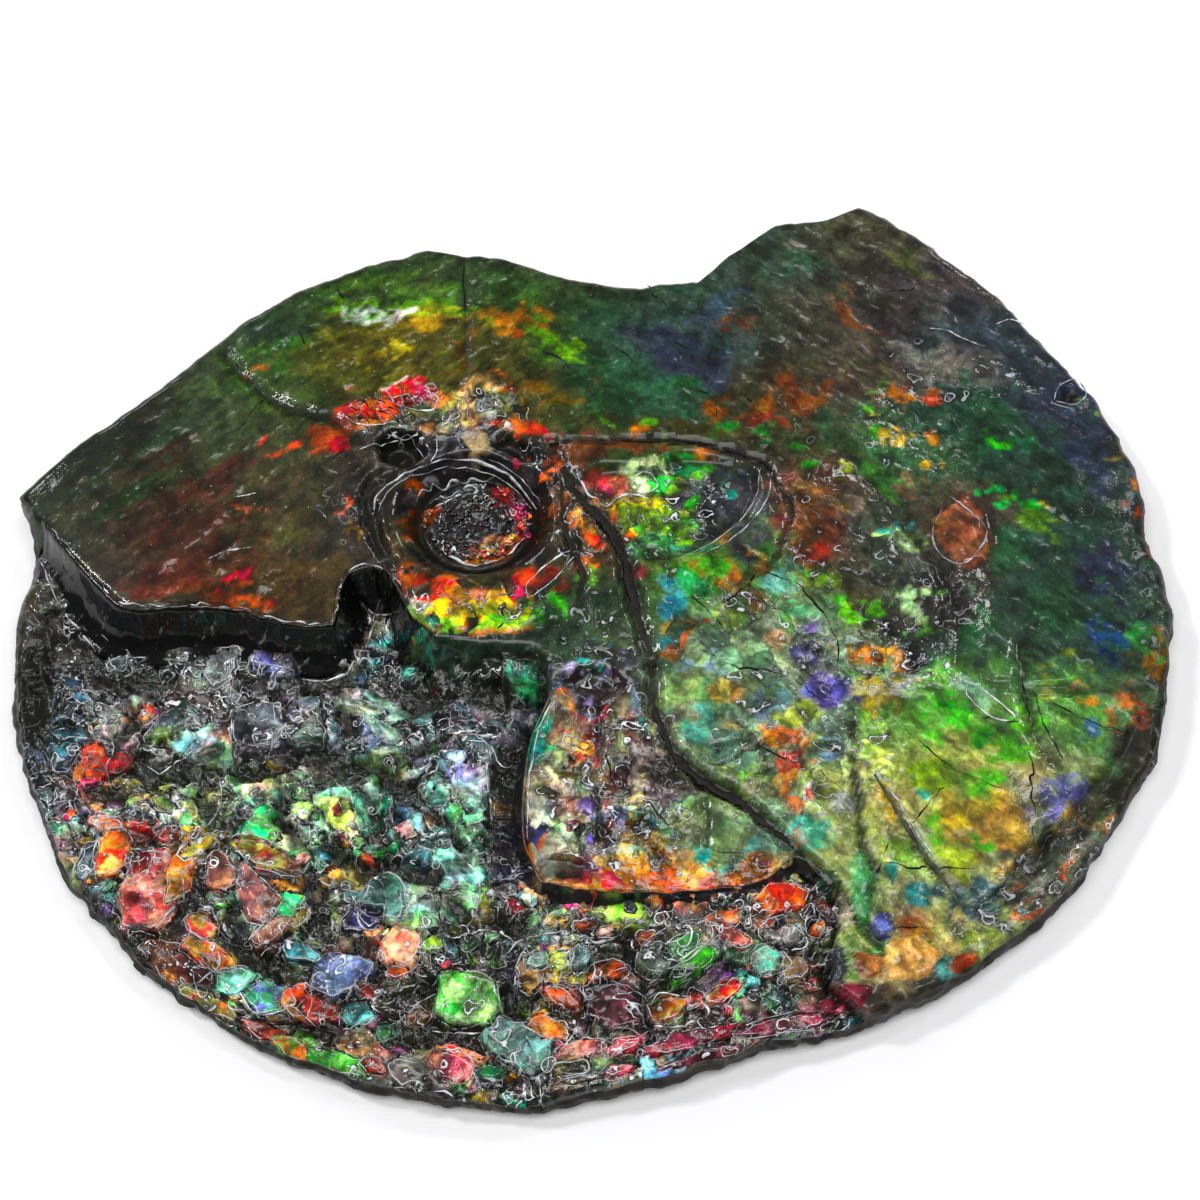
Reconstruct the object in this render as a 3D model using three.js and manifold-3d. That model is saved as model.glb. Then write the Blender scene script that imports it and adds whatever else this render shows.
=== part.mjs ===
// Ammolite specimen: one broken ammonite disc lying flat, a bed of crushed shell with a
// domed, cracked shell layer on top of it. Millimetres, +X to the right, +Z up.
import * as THREE from 'three';
import Module from 'manifold-3d';

const wasm = await Module();
wasm.setup();

// ---- Driving dimensions -------------------------------------------------------------

const BELLY_HEIGHT = 2.6; // where the rim is widest
const CHAMFER_HEIGHT = 1.1; // top of the first facet of the undercut
const FOOTPRINT_SCALE = 0.91; // flat underside against the widest outline
const CHAMFER_SCALE = 0.972;
const RIM_SCALE = 0.994; // upper edge of the rim against the widest outline
const SHELL_SCALE = 0.985; // top edge of the shell layer against the widest outline

const EDGE_HEIGHT = 4.5; // shell layer at its outer edge
const DOME_RISE = 6.0; // how far the dome stands above that edge
const DOME_CENTRE = [-12, 8];
const DOME_REACH = [72, 62]; // half axes on which the dome comes down to its edge
const BED_HEIGHT = 3.4; // crushed bed at its outer edge
const BED_RISE = 1.6;
const BED_CENTRE = [-4, -14];
const BED_REACH = [62, 46];
const BANK_RISE = 1.8; // matrix banked up below the coil
const BANK_CENTRE = [-9, -7];
const BANK_REACH = [9, 5];

const COIL_CENTRE = [-12.3, 9.3]; // middle of the ammonite's coil
const COIL_STRETCH = 0.93; // depth of the coil against its width
const SPIRAL_TURNS = 2.3;
const SPIRAL_START = 1.1; // radius where the spiral ridge begins
const SPIRAL_STEP = 1.75; // radius gained in a turn

const CLEAR = 6; // how far a hollow's cutter stands above the surface that it cuts
const CRACK_CLEAR = 0.6; // the same for a crack's cutter, which widens upwards
const ROOT = 1.6; // how deep a fused flake is rooted in the bed
const SMALL_FLAKE_SPACING = 5.2;
const SMALL_FLAKE_ROWS = 8;
const SMALL_FLAKE_COLUMNS = 15;
const BED_FACET = 5.2; // spacing of the facets
const SHELL_FACET = 4.4;

// ---- Outlines, as seen from above ---------------------------------------------------

// The disc, anticlockwise from the point at its left end.
const RIM = [
  [-60.2, 12.8], [-58.6, 10.6], [-58.4, 6.8], [-59.4, 1], [-59.4, -6], [-58.8, -11],
  [-57.5, -15.5], [-56, -19.7], [-54, -23.7], [-53, -26.5], [-51, -29.6], [-46.6, -34.7],
  [-44.2, -37.4], [-40, -40.6], [-35, -43.6], [-30, -46.2], [-24, -48.7], [-18, -50.3],
  [-12, -51.3], [-6.5, -51.9], [0, -50.4], [8, -48.6], [15, -46], [21, -44.7], [27, -42.9],
  [33, -40.1], [38.5, -36.7], [45, -31.7], [48.5, -27.4], [51, -23.6], [54, -19],
  [56.3, -15.2], [57.6, -10], [58.7, -4], [59.5, 1.2], [58.7, 6.2], [57.5, 9.4], [57.7, 13.6],
  [57, 18], [55.4, 22], [53.6, 26.6], [51.2, 30], [47.2, 35], [44, 39.3], [37.7, 44.9],
  [33, 49], [29.4, 51.4], [25.8, 49.4], [20, 48.4], [17.2, 45.7], [11.2, 39.4], [4.8, 38.6],
  [-1.5, 39.3], [-10, 42.1], [-18.3, 43.3], [-25, 41.5], [-31.6, 38.3], [-36.5, 34.8],
  [-42, 30], [-47, 25.4], [-51.5, 21], [-55.4, 17.7],
];

// The broken inner edge of the upper shell layer, from the left point to the lower rim:
// top edge x, y and then foot of the broken wall x, y.
const BROKEN_EDGE = [
  [-57.2, 9.4, -57.9, 7.4], [-55, 6.5, -56.3, 4.2], [-52, 3, -54, 0.3],
  [-47.5, -1.2, -49, -4.2], [-40, -1.3, -40, -4.7], [-36, -1.8, -36.3, -4.6],
  [-31, -3.3, -32, -6], [-27, -3.8, -27.5, -6.5], [-26.2, -3.2, -25, -5.3],
  [-25.8, 0, -23.8, -2.6], [-25, 2, -23.2, 0], [-23, 2.7, -22.3, 0.7], [-21.3, 2.2, -21.4, 0.4],
  [-20, 0.2, -21, -1.2], [-18.6, -2.6, -20.2, -4], [-16, -5.2, -17, -7.6],
  [-12, -5.6, -12.2, -8.2], [-6, -5.4, -6.3, -8], [-4.5, -8, -6, -9.8],
  [-4.6, -11.5, -6.6, -12.6], [-6.3, -16, -8.6, -16.4], [-7, -21, -9.6, -21],
  [-7, -26, -9.8, -26.5], [-5.8, -30, -8.3, -31.2], [-4.5, -31, -5.2, -33], [0, -31.7, 0, -33.6],
  [10, -31.3, 10, -33.2], [16, -30.5, 16.2, -32.4], [19.5, -28, 20, -30.4],
  [22, -29.8, 21.2, -31.4], [24, -32.5, 22.8, -33.2], [23.4, -35.5, 21.8, -36],
  [22.8, -40, 21.2, -40.6],
];
const BROKEN_FROM = 0; // rim point where the broken edge starts
const BROKEN_TO = 24; // rim point where it ends

// Cracks through the shell layer: width, depth, then the points that they pass.
const CRACKS = [
  [2.0, 1.7, [[-4.8, 17.6], [-3.3, 14.6], [-1.3, 11], [1.5, 7.5], [3.1, 3.5], [4.4, -3], [5.6, -8]]],
  [1.9, 1.6, [[5.6, -8], [6.4, -12.6], [8.6, -17.4], [11.5, -21.6], [17, -24.2], [20.6, -28.4]]],
  [1.5, 1.1, [[-3.6, 12.8], [-2.9, 7], [-1.4, 2.5], [-1.3, -2]]],
  [1.3, 1.1, [[25.4, -11.8], [25.8, -16], [25.6, -21], [26.2, -25.2], [27.2, -29.6]]],
  [1.8, 1.2, [[27.6, -18.2], [29.6, -22.4], [32.4, -26.8], [36.4, -32.8]]],
  [1.2, 0.9, [[37, -8.4], [44, -9.2], [50, -8.6], [57, -8.2]]],
  [1.0, 0.9, [[43, -4], [43.2, -9], [44.4, -15.6], [46.4, -17.4]]],
  [2.6, 0.9, [[55.4, -13], [51.6, -18.6], [47.4, -23.6], [42.6, -27.6], [38, -33.2]]],
  [1.3, 1.0, [[-39.5, 29.6], [-35.6, 24.6], [-31.5, 21.5], [-27.6, 20.6], [-24, 17.6]]],
  [1.0, 0.8, [[-14.2, 42], [-14.1, 35], [-13.8, 26.4], [-15.5, 20.6]]],
  [1.0, 0.7, [[-14.5, 24.5], [-8, 22.9], [-1, 23.2], [4, 27.4], [5, 33.4], [5.4, 38.2]]],
  [1.1, 0.9, [[-4.8, 17.6], [4, 18.3], [11, 18.4], [18, 15.6], [20.4, 9.6], [17.6, 3]]],
  [1.6, 1.0, [[-24.6, 17.2], [-27.2, 13.4], [-26.4, 8.6], [-23.8, 4.8], [-21.6, 2.6]]],
  [1.0, 0.8, [[26.6, 16.4], [31, 9.8], [35, 4.6], [37.2, -1], [36.6, -7]]],
];

// Hollows in the shell layer: depth, then the outline of the mouth.
const HOLLOWS = [
  [1.1, [[-1.8, 13.6], [0.4, 15.2], [5.2, 15.6], [9, 17.3], [13.4, 17.2], [16.8, 15.6],
    [17.2, 12.4], [15.8, 9.2], [12.4, 5.8], [8, 3.4], [5, 3.2], [3.4, 5], [0.8, 9.6]]],
  [2.3, [[-22.4, 15.4], [-22.8, 17.8], [-20.6, 19.2], [-18.4, 18.4], [-17.4, 16.2], [-19.6, 14.4]]],
  [1.3, [[-11.4, 17.6], [-9, 18.9], [-7, 17.8], [-6.2, 15.2], [-7.8, 15.4], [-10, 16.6]]],
  [2.0, [[-4.2, -9], [-2.4, -8.2], [1.4, -8], [3.8, -9.6], [2.4, -11.8], [0.4, -12.7], [-3.4, -11.4]]],
  [0.9, [[49, 25.4], [49.8, 27.6], [52, 28.6], [52.8, 26.8], [51, 25]]],
  [1.2, [[43.6, -24.8], [44.4, -22.8], [46, -23.8], [44.8, -26.4], [43.2, -27.2]]],
];

// Large flakes of the bed: centre x, y, half length, half width, turn in degrees, lift.
const LARGE_FLAKES = [
  [-42.6, -30.2, 5.0, 3.4, 78, 1.5], [-39.6, -37.2, 4.4, 2.6, -32, 1.3],
  [-47.4, -26.2, 2.8, 2.4, 20, 1.2], [-33.2, -30.4, 3.4, 2.2, -62, 1.3],
  [-24.4, -38.8, 3.0, 2.6, 10, 1.2], [-20.4, -31, 2.8, 2.6, 40, 1.2],
  [-18.4, -36.4, 2.4, 2.8, 80, 1.2], [-27, -41.6, 2.6, 2.2, -20, 1.1],
  [-12.2, -41.6, 3.6, 2.8, -12, 1.5], [-14, -47.6, 3.4, 2.2, -35, 1.2],
  [-23.4, -47.2, 4.2, 1.8, -18, 1.1], [-35, -41.6, 4.2, 1.6, -30, 1.0],
  [-31.4, -44, 3.0, 1.6, -28, 1.0], [-34.6, -39.2, 2.2, 1.9, 10, 1.1],
  [-18.8, -40.2, 1.8, 1.6, 60, 1.0], [-7.4, -46.6, 3.6, 2.8, -30, 1.1],
  [9, -36.6, 4.8, 2.3, 38, 1.7], [2.2, -41.4, 3.6, 2.8, -40, 1.4],
  [-4, -38.6, 2.8, 3.4, 20, 1.4], [12.2, -40.4, 3.4, 1.8, 25, 1.2],
  [-3.6, -44.4, 3.0, 1.8, -20, 1.1], [3, -46.6, 5.2, 1.5, 6, 1.2],
  [12, -44.6, 5.4, 1.4, 18, 1.3], [20.4, -42.6, 4.6, 1.6, 12, 1.3],
  [18.4, -31.8, 2.6, 1.9, 10, 1.4], [12.6, -33.4, 2.0, 1.8, -30, 1.3],
  [18.6, -37, 2.8, 2.4, 30, 1.0], [-2, -48.8, 4.0, 1.4, 4, 1.0],
  [-10.6, -17.4, 2.4, 2.8, 70, 1.2], [-44.6, -22, 3.0, 2.2, -30, 1.0],
  [-36.4, -22.6, 2.2, 2.6, 0, 1.1], [-53.6, -13.4, 2.0, 2.4, 10, 1.0],
  [-38, -5.6, 2.6, 1.7, 45, 1.1], [-33.8, -12.6, 2.6, 2.6, 0, 1.1],
  [-48.4, -31.4, 3.0, 1.9, -45, 1.0], [-12.2, -11.8, 3.2, 1.6, -20, 1.0],
];

const SHELL = new THREE.MeshStandardMaterial({ color: 0x3b4a2c, roughness: 0.28, metalness: 0.0 });

// ---- Heights ------------------------------------------------------------------------

// An elliptic cap: 1 at its centre, 0 on its half axes and beyond.
function cap(x, y, centre, reach) {
  const across = (x - centre[0]) / reach[0];
  const along = (y - centre[1]) / reach[1];
  return Math.max(0, 1 - across * across - along * along);
}

// Low swells in the shell layer, about 12 mm from crest to crest.
function swell(x, y) {
  return 0.28 * Math.sin(x / 4.1 + y / 9) + 0.24 * Math.cos(y / 4.6 - x / 13);
}

function domeHeight(x, y) {
  return EDGE_HEIGHT + DOME_RISE * cap(x, y, DOME_CENTRE, DOME_REACH) + swell(x, y);
}

function bedHeight(x, y) {
  const bank = BANK_RISE * cap(x, y, BANK_CENTRE, BANK_REACH);
  return BED_HEIGHT + BED_RISE * cap(x, y, BED_CENTRE, BED_REACH) + bank + 1.3 * swell(y, x);
}

// ---- Solids -------------------------------------------------------------------------

function solidFromArrays(positions, indices) {
  const vertProperties = new Float32Array(positions);
  const triVerts = new Uint32Array(indices);
  return new wasm.Manifold(new wasm.Mesh({ numProp: 3, vertProperties, triVerts }));
}

// A closed skin over rings of equal point count, the first one lowest, all anticlockwise.
function loft(rings) {
  const count = rings[0].length;
  const positions = rings.flat(2);
  const indices = [];
  for (let level = 0; level < rings.length - 1; level += 1) {
    for (let i = 0; i < count; i += 1) {
      const a = level * count + i;
      const b = level * count + ((i + 1) % count);
      indices.push(a, b, b + count, a, b + count, a + count);
    }
  }
  const flat = (ring) => ring.map(([x, y]) => new THREE.Vector2(x, y));
  const last = (rings.length - 1) * count;
  for (const [a, b, c] of THREE.ShapeUtils.triangulateShape(flat(rings[0]), [])) {
    indices.push(a, c, b);
  }
  for (const [a, b, c] of THREE.ShapeUtils.triangulateShape(flat(rings.at(-1)), [])) {
    indices.push(last + a, last + b, last + c);
  }
  return solidFromArrays(positions, indices);
}

// A plane of small facets over the whole disc, raised by heightAt, with everything below it.
function terrain(heightAt, spacing) {
  const plane = new THREE.PlaneGeometry(136, 120, Math.round(136 / spacing), Math.round(120 / spacing));
  const { widthSegments: nx, heightSegments: ny } = plane.parameters;
  const at = plane.attributes.position;
  const positions = [];
  for (let i = 0; i < at.count; i += 1) {
    positions.push(at.getX(i), at.getY(i), heightAt(at.getX(i), at.getY(i)));
  }
  const indices = [...plane.index.array];
  const edge = [];
  for (let i = 0; i < nx; i += 1) edge.push(i);
  for (let j = 0; j < ny; j += 1) edge.push(j * (nx + 1) + nx);
  for (let i = nx; i > 0; i -= 1) edge.push(ny * (nx + 1) + i);
  for (let j = ny; j > 0; j -= 1) edge.push(j * (nx + 1));
  const first = positions.length / 3;
  for (const i of edge) positions.push(at.getX(i), at.getY(i), -CLEAR);
  const middle = positions.length / 3;
  positions.push(0, 0, -CLEAR);
  for (let k = 0; k < edge.length; k += 1) {
    const next = (k + 1) % edge.length;
    indices.push(edge[k], edge[next], first + next, edge[k], first + next, first + k);
    indices.push(first + k, first + next, middle);
  }
  return solidFromArrays(positions, indices);
}

function ringAt(outline, scale, height) {
  return outline.map(([x, y]) => [x * scale, y * scale, height]);
}

// A closed three-sided bar through the sections, each one anticlockwise as seen along the way.
function bar(sections) {
  const indices = [0, 1, 2];
  for (let i = 0; i < sections.length - 1; i += 1) {
    for (let side = 0; side < 3; side += 1) {
      const a = 3 * i + side;
      const b = 3 * i + ((side + 1) % 3);
      indices.push(a, a + 3, b + 3, a, b + 3, b);
    }
  }
  const end = 3 * (sections.length - 1);
  indices.push(end, end + 2, end + 1);
  return solidFromArrays(sections.flat(2), indices);
}

// A V-shaped cutter that follows a path over the dome and fades out at both ends.
function crackCutter([width, depth, points]) {
  const path = new THREE.CatmullRomCurve3(points.map(([x, y]) => new THREE.Vector3(x, y, 0)));
  const steps = 2 * points.length;
  return bar(Array.from({ length: steps + 1 }, (_, i) => {
    const { x, y } = path.getPointAt(i / steps);
    const way = path.getTangentAt(i / steps);
    const fade = 0.35 + 0.65 * Math.sin((Math.PI * i) / steps);
    const spread = (fade + CRACK_CLEAR / depth) * (width / 2);
    const top = domeHeight(x, y) + CRACK_CLEAR;
    return [
      [x, y, domeHeight(x, y) - depth * fade],
      [x + way.y * spread, y - way.x * spread, top],
      [x - way.y * spread, y + way.x * spread, top],
    ];
  }));
}

// A hollow narrows from its mouth to 0.7 of it at the floor.
function hollowCutter([depth, mouth]) {
  const anticlockwise = THREE.ShapeUtils.isClockWise(mouth.map(([x, y]) => new THREE.Vector2(x, y)))
    ? [...mouth].reverse()
    : mouth;
  const middle = anticlockwise.reduce(([sx, sy], [x, y]) => [sx + x, sy + y], [0, 0]);
  const cx = middle[0] / mouth.length;
  const cy = middle[1] / mouth.length;
  const ring = (scale, lift) => anticlockwise.map(([x, y]) => {
    const px = cx + (x - cx) * scale;
    const py = cy + (y - cy) * scale;
    return [px, py, domeHeight(px, py) + lift];
  });
  return loft([ring(0.7, -depth), ring(1, 0), ring(1.2, CLEAR)]);
}

// A ring of the coil: radius, and height against the dome at the coil's centre.
function coilRing(radius, lift, sides = 24) {
  const top = domeHeight(...COIL_CENTRE);
  return Array.from({ length: sides }, (_, i) => {
    const angle = (2 * Math.PI * i) / sides;
    const x = COIL_CENTRE[0] + radius * Math.cos(angle);
    const y = COIL_CENTRE[1] + radius * COIL_STRETCH * Math.sin(angle);
    return [x, y, top + lift];
  });
}

// The rounded ridge of the inner whorls: a three-sided bar wound on a flat spiral.
function spiralRidge() {
  const steps = 34;
  const floor = domeHeight(...COIL_CENTRE) - 2.2;
  return bar(Array.from({ length: steps + 1 }, (_, i) => {
    const turn = (i / steps) * SPIRAL_TURNS;
    const angle = 2 * Math.PI * turn + 0.6;
    const radius = SPIRAL_START + SPIRAL_STEP * turn;
    const half = 0.34 + 0.13 * turn;
    const profile = [[radius - half, floor], [radius + half, floor], [radius, floor + 1.5]];
    return profile.map(([r, z]) => [
      COIL_CENTRE[0] + r * Math.cos(angle),
      COIL_CENTRE[1] + r * COIL_STRETCH * Math.sin(angle),
      z,
    ]);
  }));
}

// A fixed scatter of numbers from 0 to 1.
function scatter(seed) {
  const wave = Math.sin(seed * 127.1 + 11.7) * 43758.5453;
  return wave - Math.floor(wave);
}

// A tilted plate of five to seven sides, rooted in the bed and a little narrower at its top.
function flake([x, y, long, wide, turn, lift], seed) {
  const heading = THREE.MathUtils.degToRad(turn);
  const sides = 5 + Math.floor(3 * scatter(seed + 0.71));
  const lean = 0.9 * (scatter(seed) - 0.5);
  const roll = 0.7 * (scatter(seed + 0.37) - 0.5);
  const corners = Array.from({ length: sides }, (_, i) => {
    const angle = (2 * Math.PI * (i + 0.55 * scatter(seed + i / 7))) / sides;
    const reach = 0.85 + 0.3 * scatter(seed + i / 5);
    return [reach * Math.cos(angle), reach * Math.sin(angle)];
  });
  const ring = (scale, base, tilt) => corners.map(([along, across]) => {
    const u = long * scale * along;
    const v = wide * scale * across;
    const px = x + u * Math.cos(heading) - v * Math.sin(heading);
    const py = y + u * Math.sin(heading) + v * Math.cos(heading);
    return [px, py, bedHeight(x, y) + base + tilt * (lean * along + roll * across)];
  });
  return loft([ring(1.04, -ROOT, 0), ring(0.84, lift, 1)]);
}

// Whether a point lies inside an outline, by counting the edges that a ray to +X crosses.
function isInside(outline, x, y) {
  return outline.reduce((inside, [ax, ay], i) => {
    const [bx, by] = outline[(i + 1) % outline.length];
    const crossed = ay > y !== by > y && x < ax + ((bx - ax) * (y - ay)) / (by - ay);
    return crossed ? !inside : inside;
  }, false);
}

// Small flakes in rows over the open bed, each moved off its row by the scatter.
function smallFlakes() {
  const flakes = [];
  for (let i = 0; i < SMALL_FLAKE_ROWS * SMALL_FLAKE_COLUMNS; i += 1) {
    const row = i % SMALL_FLAKE_ROWS;
    const column = Math.floor(i / SMALL_FLAKE_ROWS);
    const x = -57 + SMALL_FLAKE_SPACING * (column + 0.6 * scatter(i + 0.1) + 0.5 * (row % 2));
    const y = -5 - SMALL_FLAKE_SPACING * (row + 0.6 * scatter(i + 0.2));
    const long = 1.7 + 1.1 * scatter(i + 0.3);
    const wide = long * (0.55 + 0.35 * scatter(i + 0.4));
    const open = isInside(RIM, x * 1.05, y * 1.05) && !isInside(shellFoot(), x + 2, y + 2);
    const covered = LARGE_FLAKES.some(([fx, fy, fl, fw]) => Math.hypot(x - fx, y - fy) < (fl + fw) / 2 + 1);
    if (open && !covered) flakes.push([x, y, long, wide, 180 * scatter(i + 0.5), 0.8]);
  }
  return flakes;
}

// ---- The fossil ---------------------------------------------------------------------

function crushedBed() {
  const disc = loft([
    ringAt(RIM, FOOTPRINT_SCALE, 0),
    ringAt(RIM, CHAMFER_SCALE, CHAMFER_HEIGHT),
    ringAt(RIM, 1, BELLY_HEIGHT),
    ringAt(RIM, RIM_SCALE, BELLY_HEIGHT + 20),
  ]);
  return disc.intersect(terrain(bedHeight, BED_FACET));
}

// The rim points that the shell layer still reaches, from the lower edge round to the left.
function wholeRim() {
  return [...RIM.slice(BROKEN_TO), RIM[BROKEN_FROM]];
}

function shellFoot() {
  return [...BROKEN_EDGE.map((p) => [p[2], p[3]]), ...wholeRim()];
}

function shellLayer() {
  const foot = ringAt(shellFoot(), RIM_SCALE, BELLY_HEIGHT);
  const edge = [
    ...BROKEN_EDGE.map((p) => [p[0], p[1]]),
    ...ringAt(wholeRim(), SHELL_SCALE, 0),
  ];
  const body = loft([
    foot,
    foot.map(([x, y]) => [x, y, Math.min(bedHeight(x, y), EDGE_HEIGHT) - 0.4]),
    edge.map(([x, y]) => [x, y, domeHeight(x, y) - 0.2]),
    edge.map(([x, y]) => [x, y, EDGE_HEIGHT + DOME_RISE + CLEAR]),
  ]);
  return body.intersect(terrain(domeHeight, SHELL_FACET));
}

function coil() {
  const pit = loft([coilRing(5.9, -2.7), coilRing(7.2, -0.9), coilRing(8.2, 0.4), coilRing(9, CLEAR)]);
  const hub = loft([coilRing(5.2, -3.4), coilRing(4.4, -1.9)]);
  return { pit, hub: hub.add(spiralRidge()) };
}

function fossil() {
  let solid = crushedBed();
  LARGE_FLAKES.concat(smallFlakes()).forEach((row, i) => {
    solid = solid.add(flake(row, i + 1));
  });
  solid = solid.add(shellLayer());
  for (const hollow of HOLLOWS) solid = solid.subtract(hollowCutter(hollow));
  const { pit, hub } = coil();
  solid = solid.subtract(pit).add(hub);
  for (const crack of CRACKS) solid = solid.subtract(crackCutter(crack));
  return solid;
}

function meshFrom(name, solid, material) {
  const { vertProperties, triVerts } = solid.getMesh();
  const geometry = new THREE.BufferGeometry();
  geometry.setAttribute('position', new THREE.BufferAttribute(vertProperties, 3));
  geometry.setIndex(new THREE.BufferAttribute(triVerts, 1));
  geometry.computeBoundingBox();
  const middle = geometry.boundingBox.getCenter(new THREE.Vector3());
  geometry.translate(-middle.x, -middle.y, -geometry.boundingBox.min.z);
  geometry.computeVertexNormals();
  const mesh = new THREE.Mesh(geometry, material);
  mesh.name = name;
  return mesh;
}

const group = new THREE.Group();
group.add(meshFrom('ammolite_fossil', fossil(), SHELL));

export default group;
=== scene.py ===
"""Ammolite specimen: a broken ammonite disc with a cracked shell layer over a bed of crushed,
glossy shell flakes. Laid out as a Blender add-on and run as a script."""

import math

import bpy
import numpy as np
from bpy.props import FloatProperty, FloatVectorProperty, IntProperty, PointerProperty
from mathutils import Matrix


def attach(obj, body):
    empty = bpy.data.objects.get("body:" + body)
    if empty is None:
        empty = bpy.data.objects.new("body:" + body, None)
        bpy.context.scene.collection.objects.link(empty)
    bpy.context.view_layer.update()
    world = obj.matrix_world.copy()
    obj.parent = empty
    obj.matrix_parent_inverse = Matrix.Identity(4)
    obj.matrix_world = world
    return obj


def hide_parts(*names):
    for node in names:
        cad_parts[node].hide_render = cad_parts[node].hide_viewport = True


bl_info = {
    "name": "Ammolite Specimen",
    "version": (1, 0, 0),
    "blender": (4, 5, 0),
    "location": "3D View > Sidebar > Ammolite",
    "description": "Builds a fossil ammonite disc with iridescent shell flakes, and its stage",
    "category": "Add Mesh",
}

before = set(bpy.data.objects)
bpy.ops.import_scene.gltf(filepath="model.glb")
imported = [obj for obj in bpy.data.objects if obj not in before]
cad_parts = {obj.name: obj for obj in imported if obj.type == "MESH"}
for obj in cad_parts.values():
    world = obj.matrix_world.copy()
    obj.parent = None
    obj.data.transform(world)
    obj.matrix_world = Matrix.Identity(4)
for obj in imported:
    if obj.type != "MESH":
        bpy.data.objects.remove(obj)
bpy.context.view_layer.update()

MM = 0.001
BODY = "root"
NODE = "ammolite_fossil"

# ---- Outlines in plan, in millimetres ------------------------------------------------

# The disc, anticlockwise from the point at its left end.
RIM = np.array([
    (-60.2, 12.8), (-58.6, 10.6), (-58.4, 6.8), (-59.4, 1), (-59.4, -6), (-58.8, -11),
    (-57.5, -15.5), (-56, -19.7), (-54, -23.7), (-53, -26.5), (-51, -29.6), (-46.6, -34.7),
    (-44.2, -37.4), (-40, -40.6), (-35, -43.6), (-30, -46.2), (-24, -48.7), (-18, -50.3),
    (-12, -51.3), (-6.5, -51.9), (0, -50.4), (8, -48.6), (15, -46), (21, -44.7), (27, -42.9),
    (33, -40.1), (38.5, -36.7), (45, -31.7), (48.5, -27.4), (51, -23.6), (54, -19),
    (56.3, -15.2), (57.6, -10), (58.7, -4), (59.5, 1.2), (58.7, 6.2), (57.5, 9.4), (57.7, 13.6),
    (57, 18), (55.4, 22), (53.6, 26.6), (51.2, 30), (47.2, 35), (44, 39.3), (37.7, 44.9),
    (33, 49), (29.4, 51.4), (25.8, 49.4), (20, 48.4), (17.2, 45.7), (11.2, 39.4), (4.8, 38.6),
    (-1.5, 39.3), (-10, 42.1), (-18.3, 43.3), (-25, 41.5), (-31.6, 38.3), (-36.5, 34.8),
    (-42, 30), (-47, 25.4), (-51.5, 21), (-55.4, 17.7),
])

# The broken inner edge of the shell layer: top edge x, y and foot of the broken wall x, y.
BROKEN_EDGE = np.array([
    (-57.2, 9.4, -57.9, 7.4), (-55, 6.5, -56.3, 4.2), (-52, 3, -54, 0.3),
    (-47.5, -1.2, -49, -4.2), (-40, -1.3, -40, -4.7), (-36, -1.8, -36.3, -4.6),
    (-31, -3.3, -32, -6), (-27, -3.8, -27.5, -6.5), (-26.2, -3.2, -25, -5.3),
    (-25.8, 0, -23.8, -2.6), (-25, 2, -23.2, 0), (-23, 2.7, -22.3, 0.7), (-21.3, 2.2, -21.4, 0.4),
    (-20, 0.2, -21, -1.2), (-18.6, -2.6, -20.2, -4), (-16, -5.2, -17, -7.6),
    (-12, -5.6, -12.2, -8.2), (-6, -5.4, -6.3, -8), (-4.5, -8, -6, -9.8),
    (-4.6, -11.5, -6.6, -12.6), (-6.3, -16, -8.6, -16.4), (-7, -21, -9.6, -21),
    (-7, -26, -9.8, -26.5), (-5.8, -30, -8.3, -31.2), (-4.5, -31, -5.2, -33), (0, -31.7, 0, -33.6),
    (10, -31.3, 10, -33.2), (16, -30.5, 16.2, -32.4), (19.5, -28, 20, -30.4),
    (22, -29.8, 21.2, -31.4), (24, -32.5, 22.8, -33.2), (23.4, -35.5, 21.8, -36),
    (22.8, -40, 21.2, -40.6),
])
WHOLE_RIM_FROM = 24  # rim point from which the shell layer reaches the rim again

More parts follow.
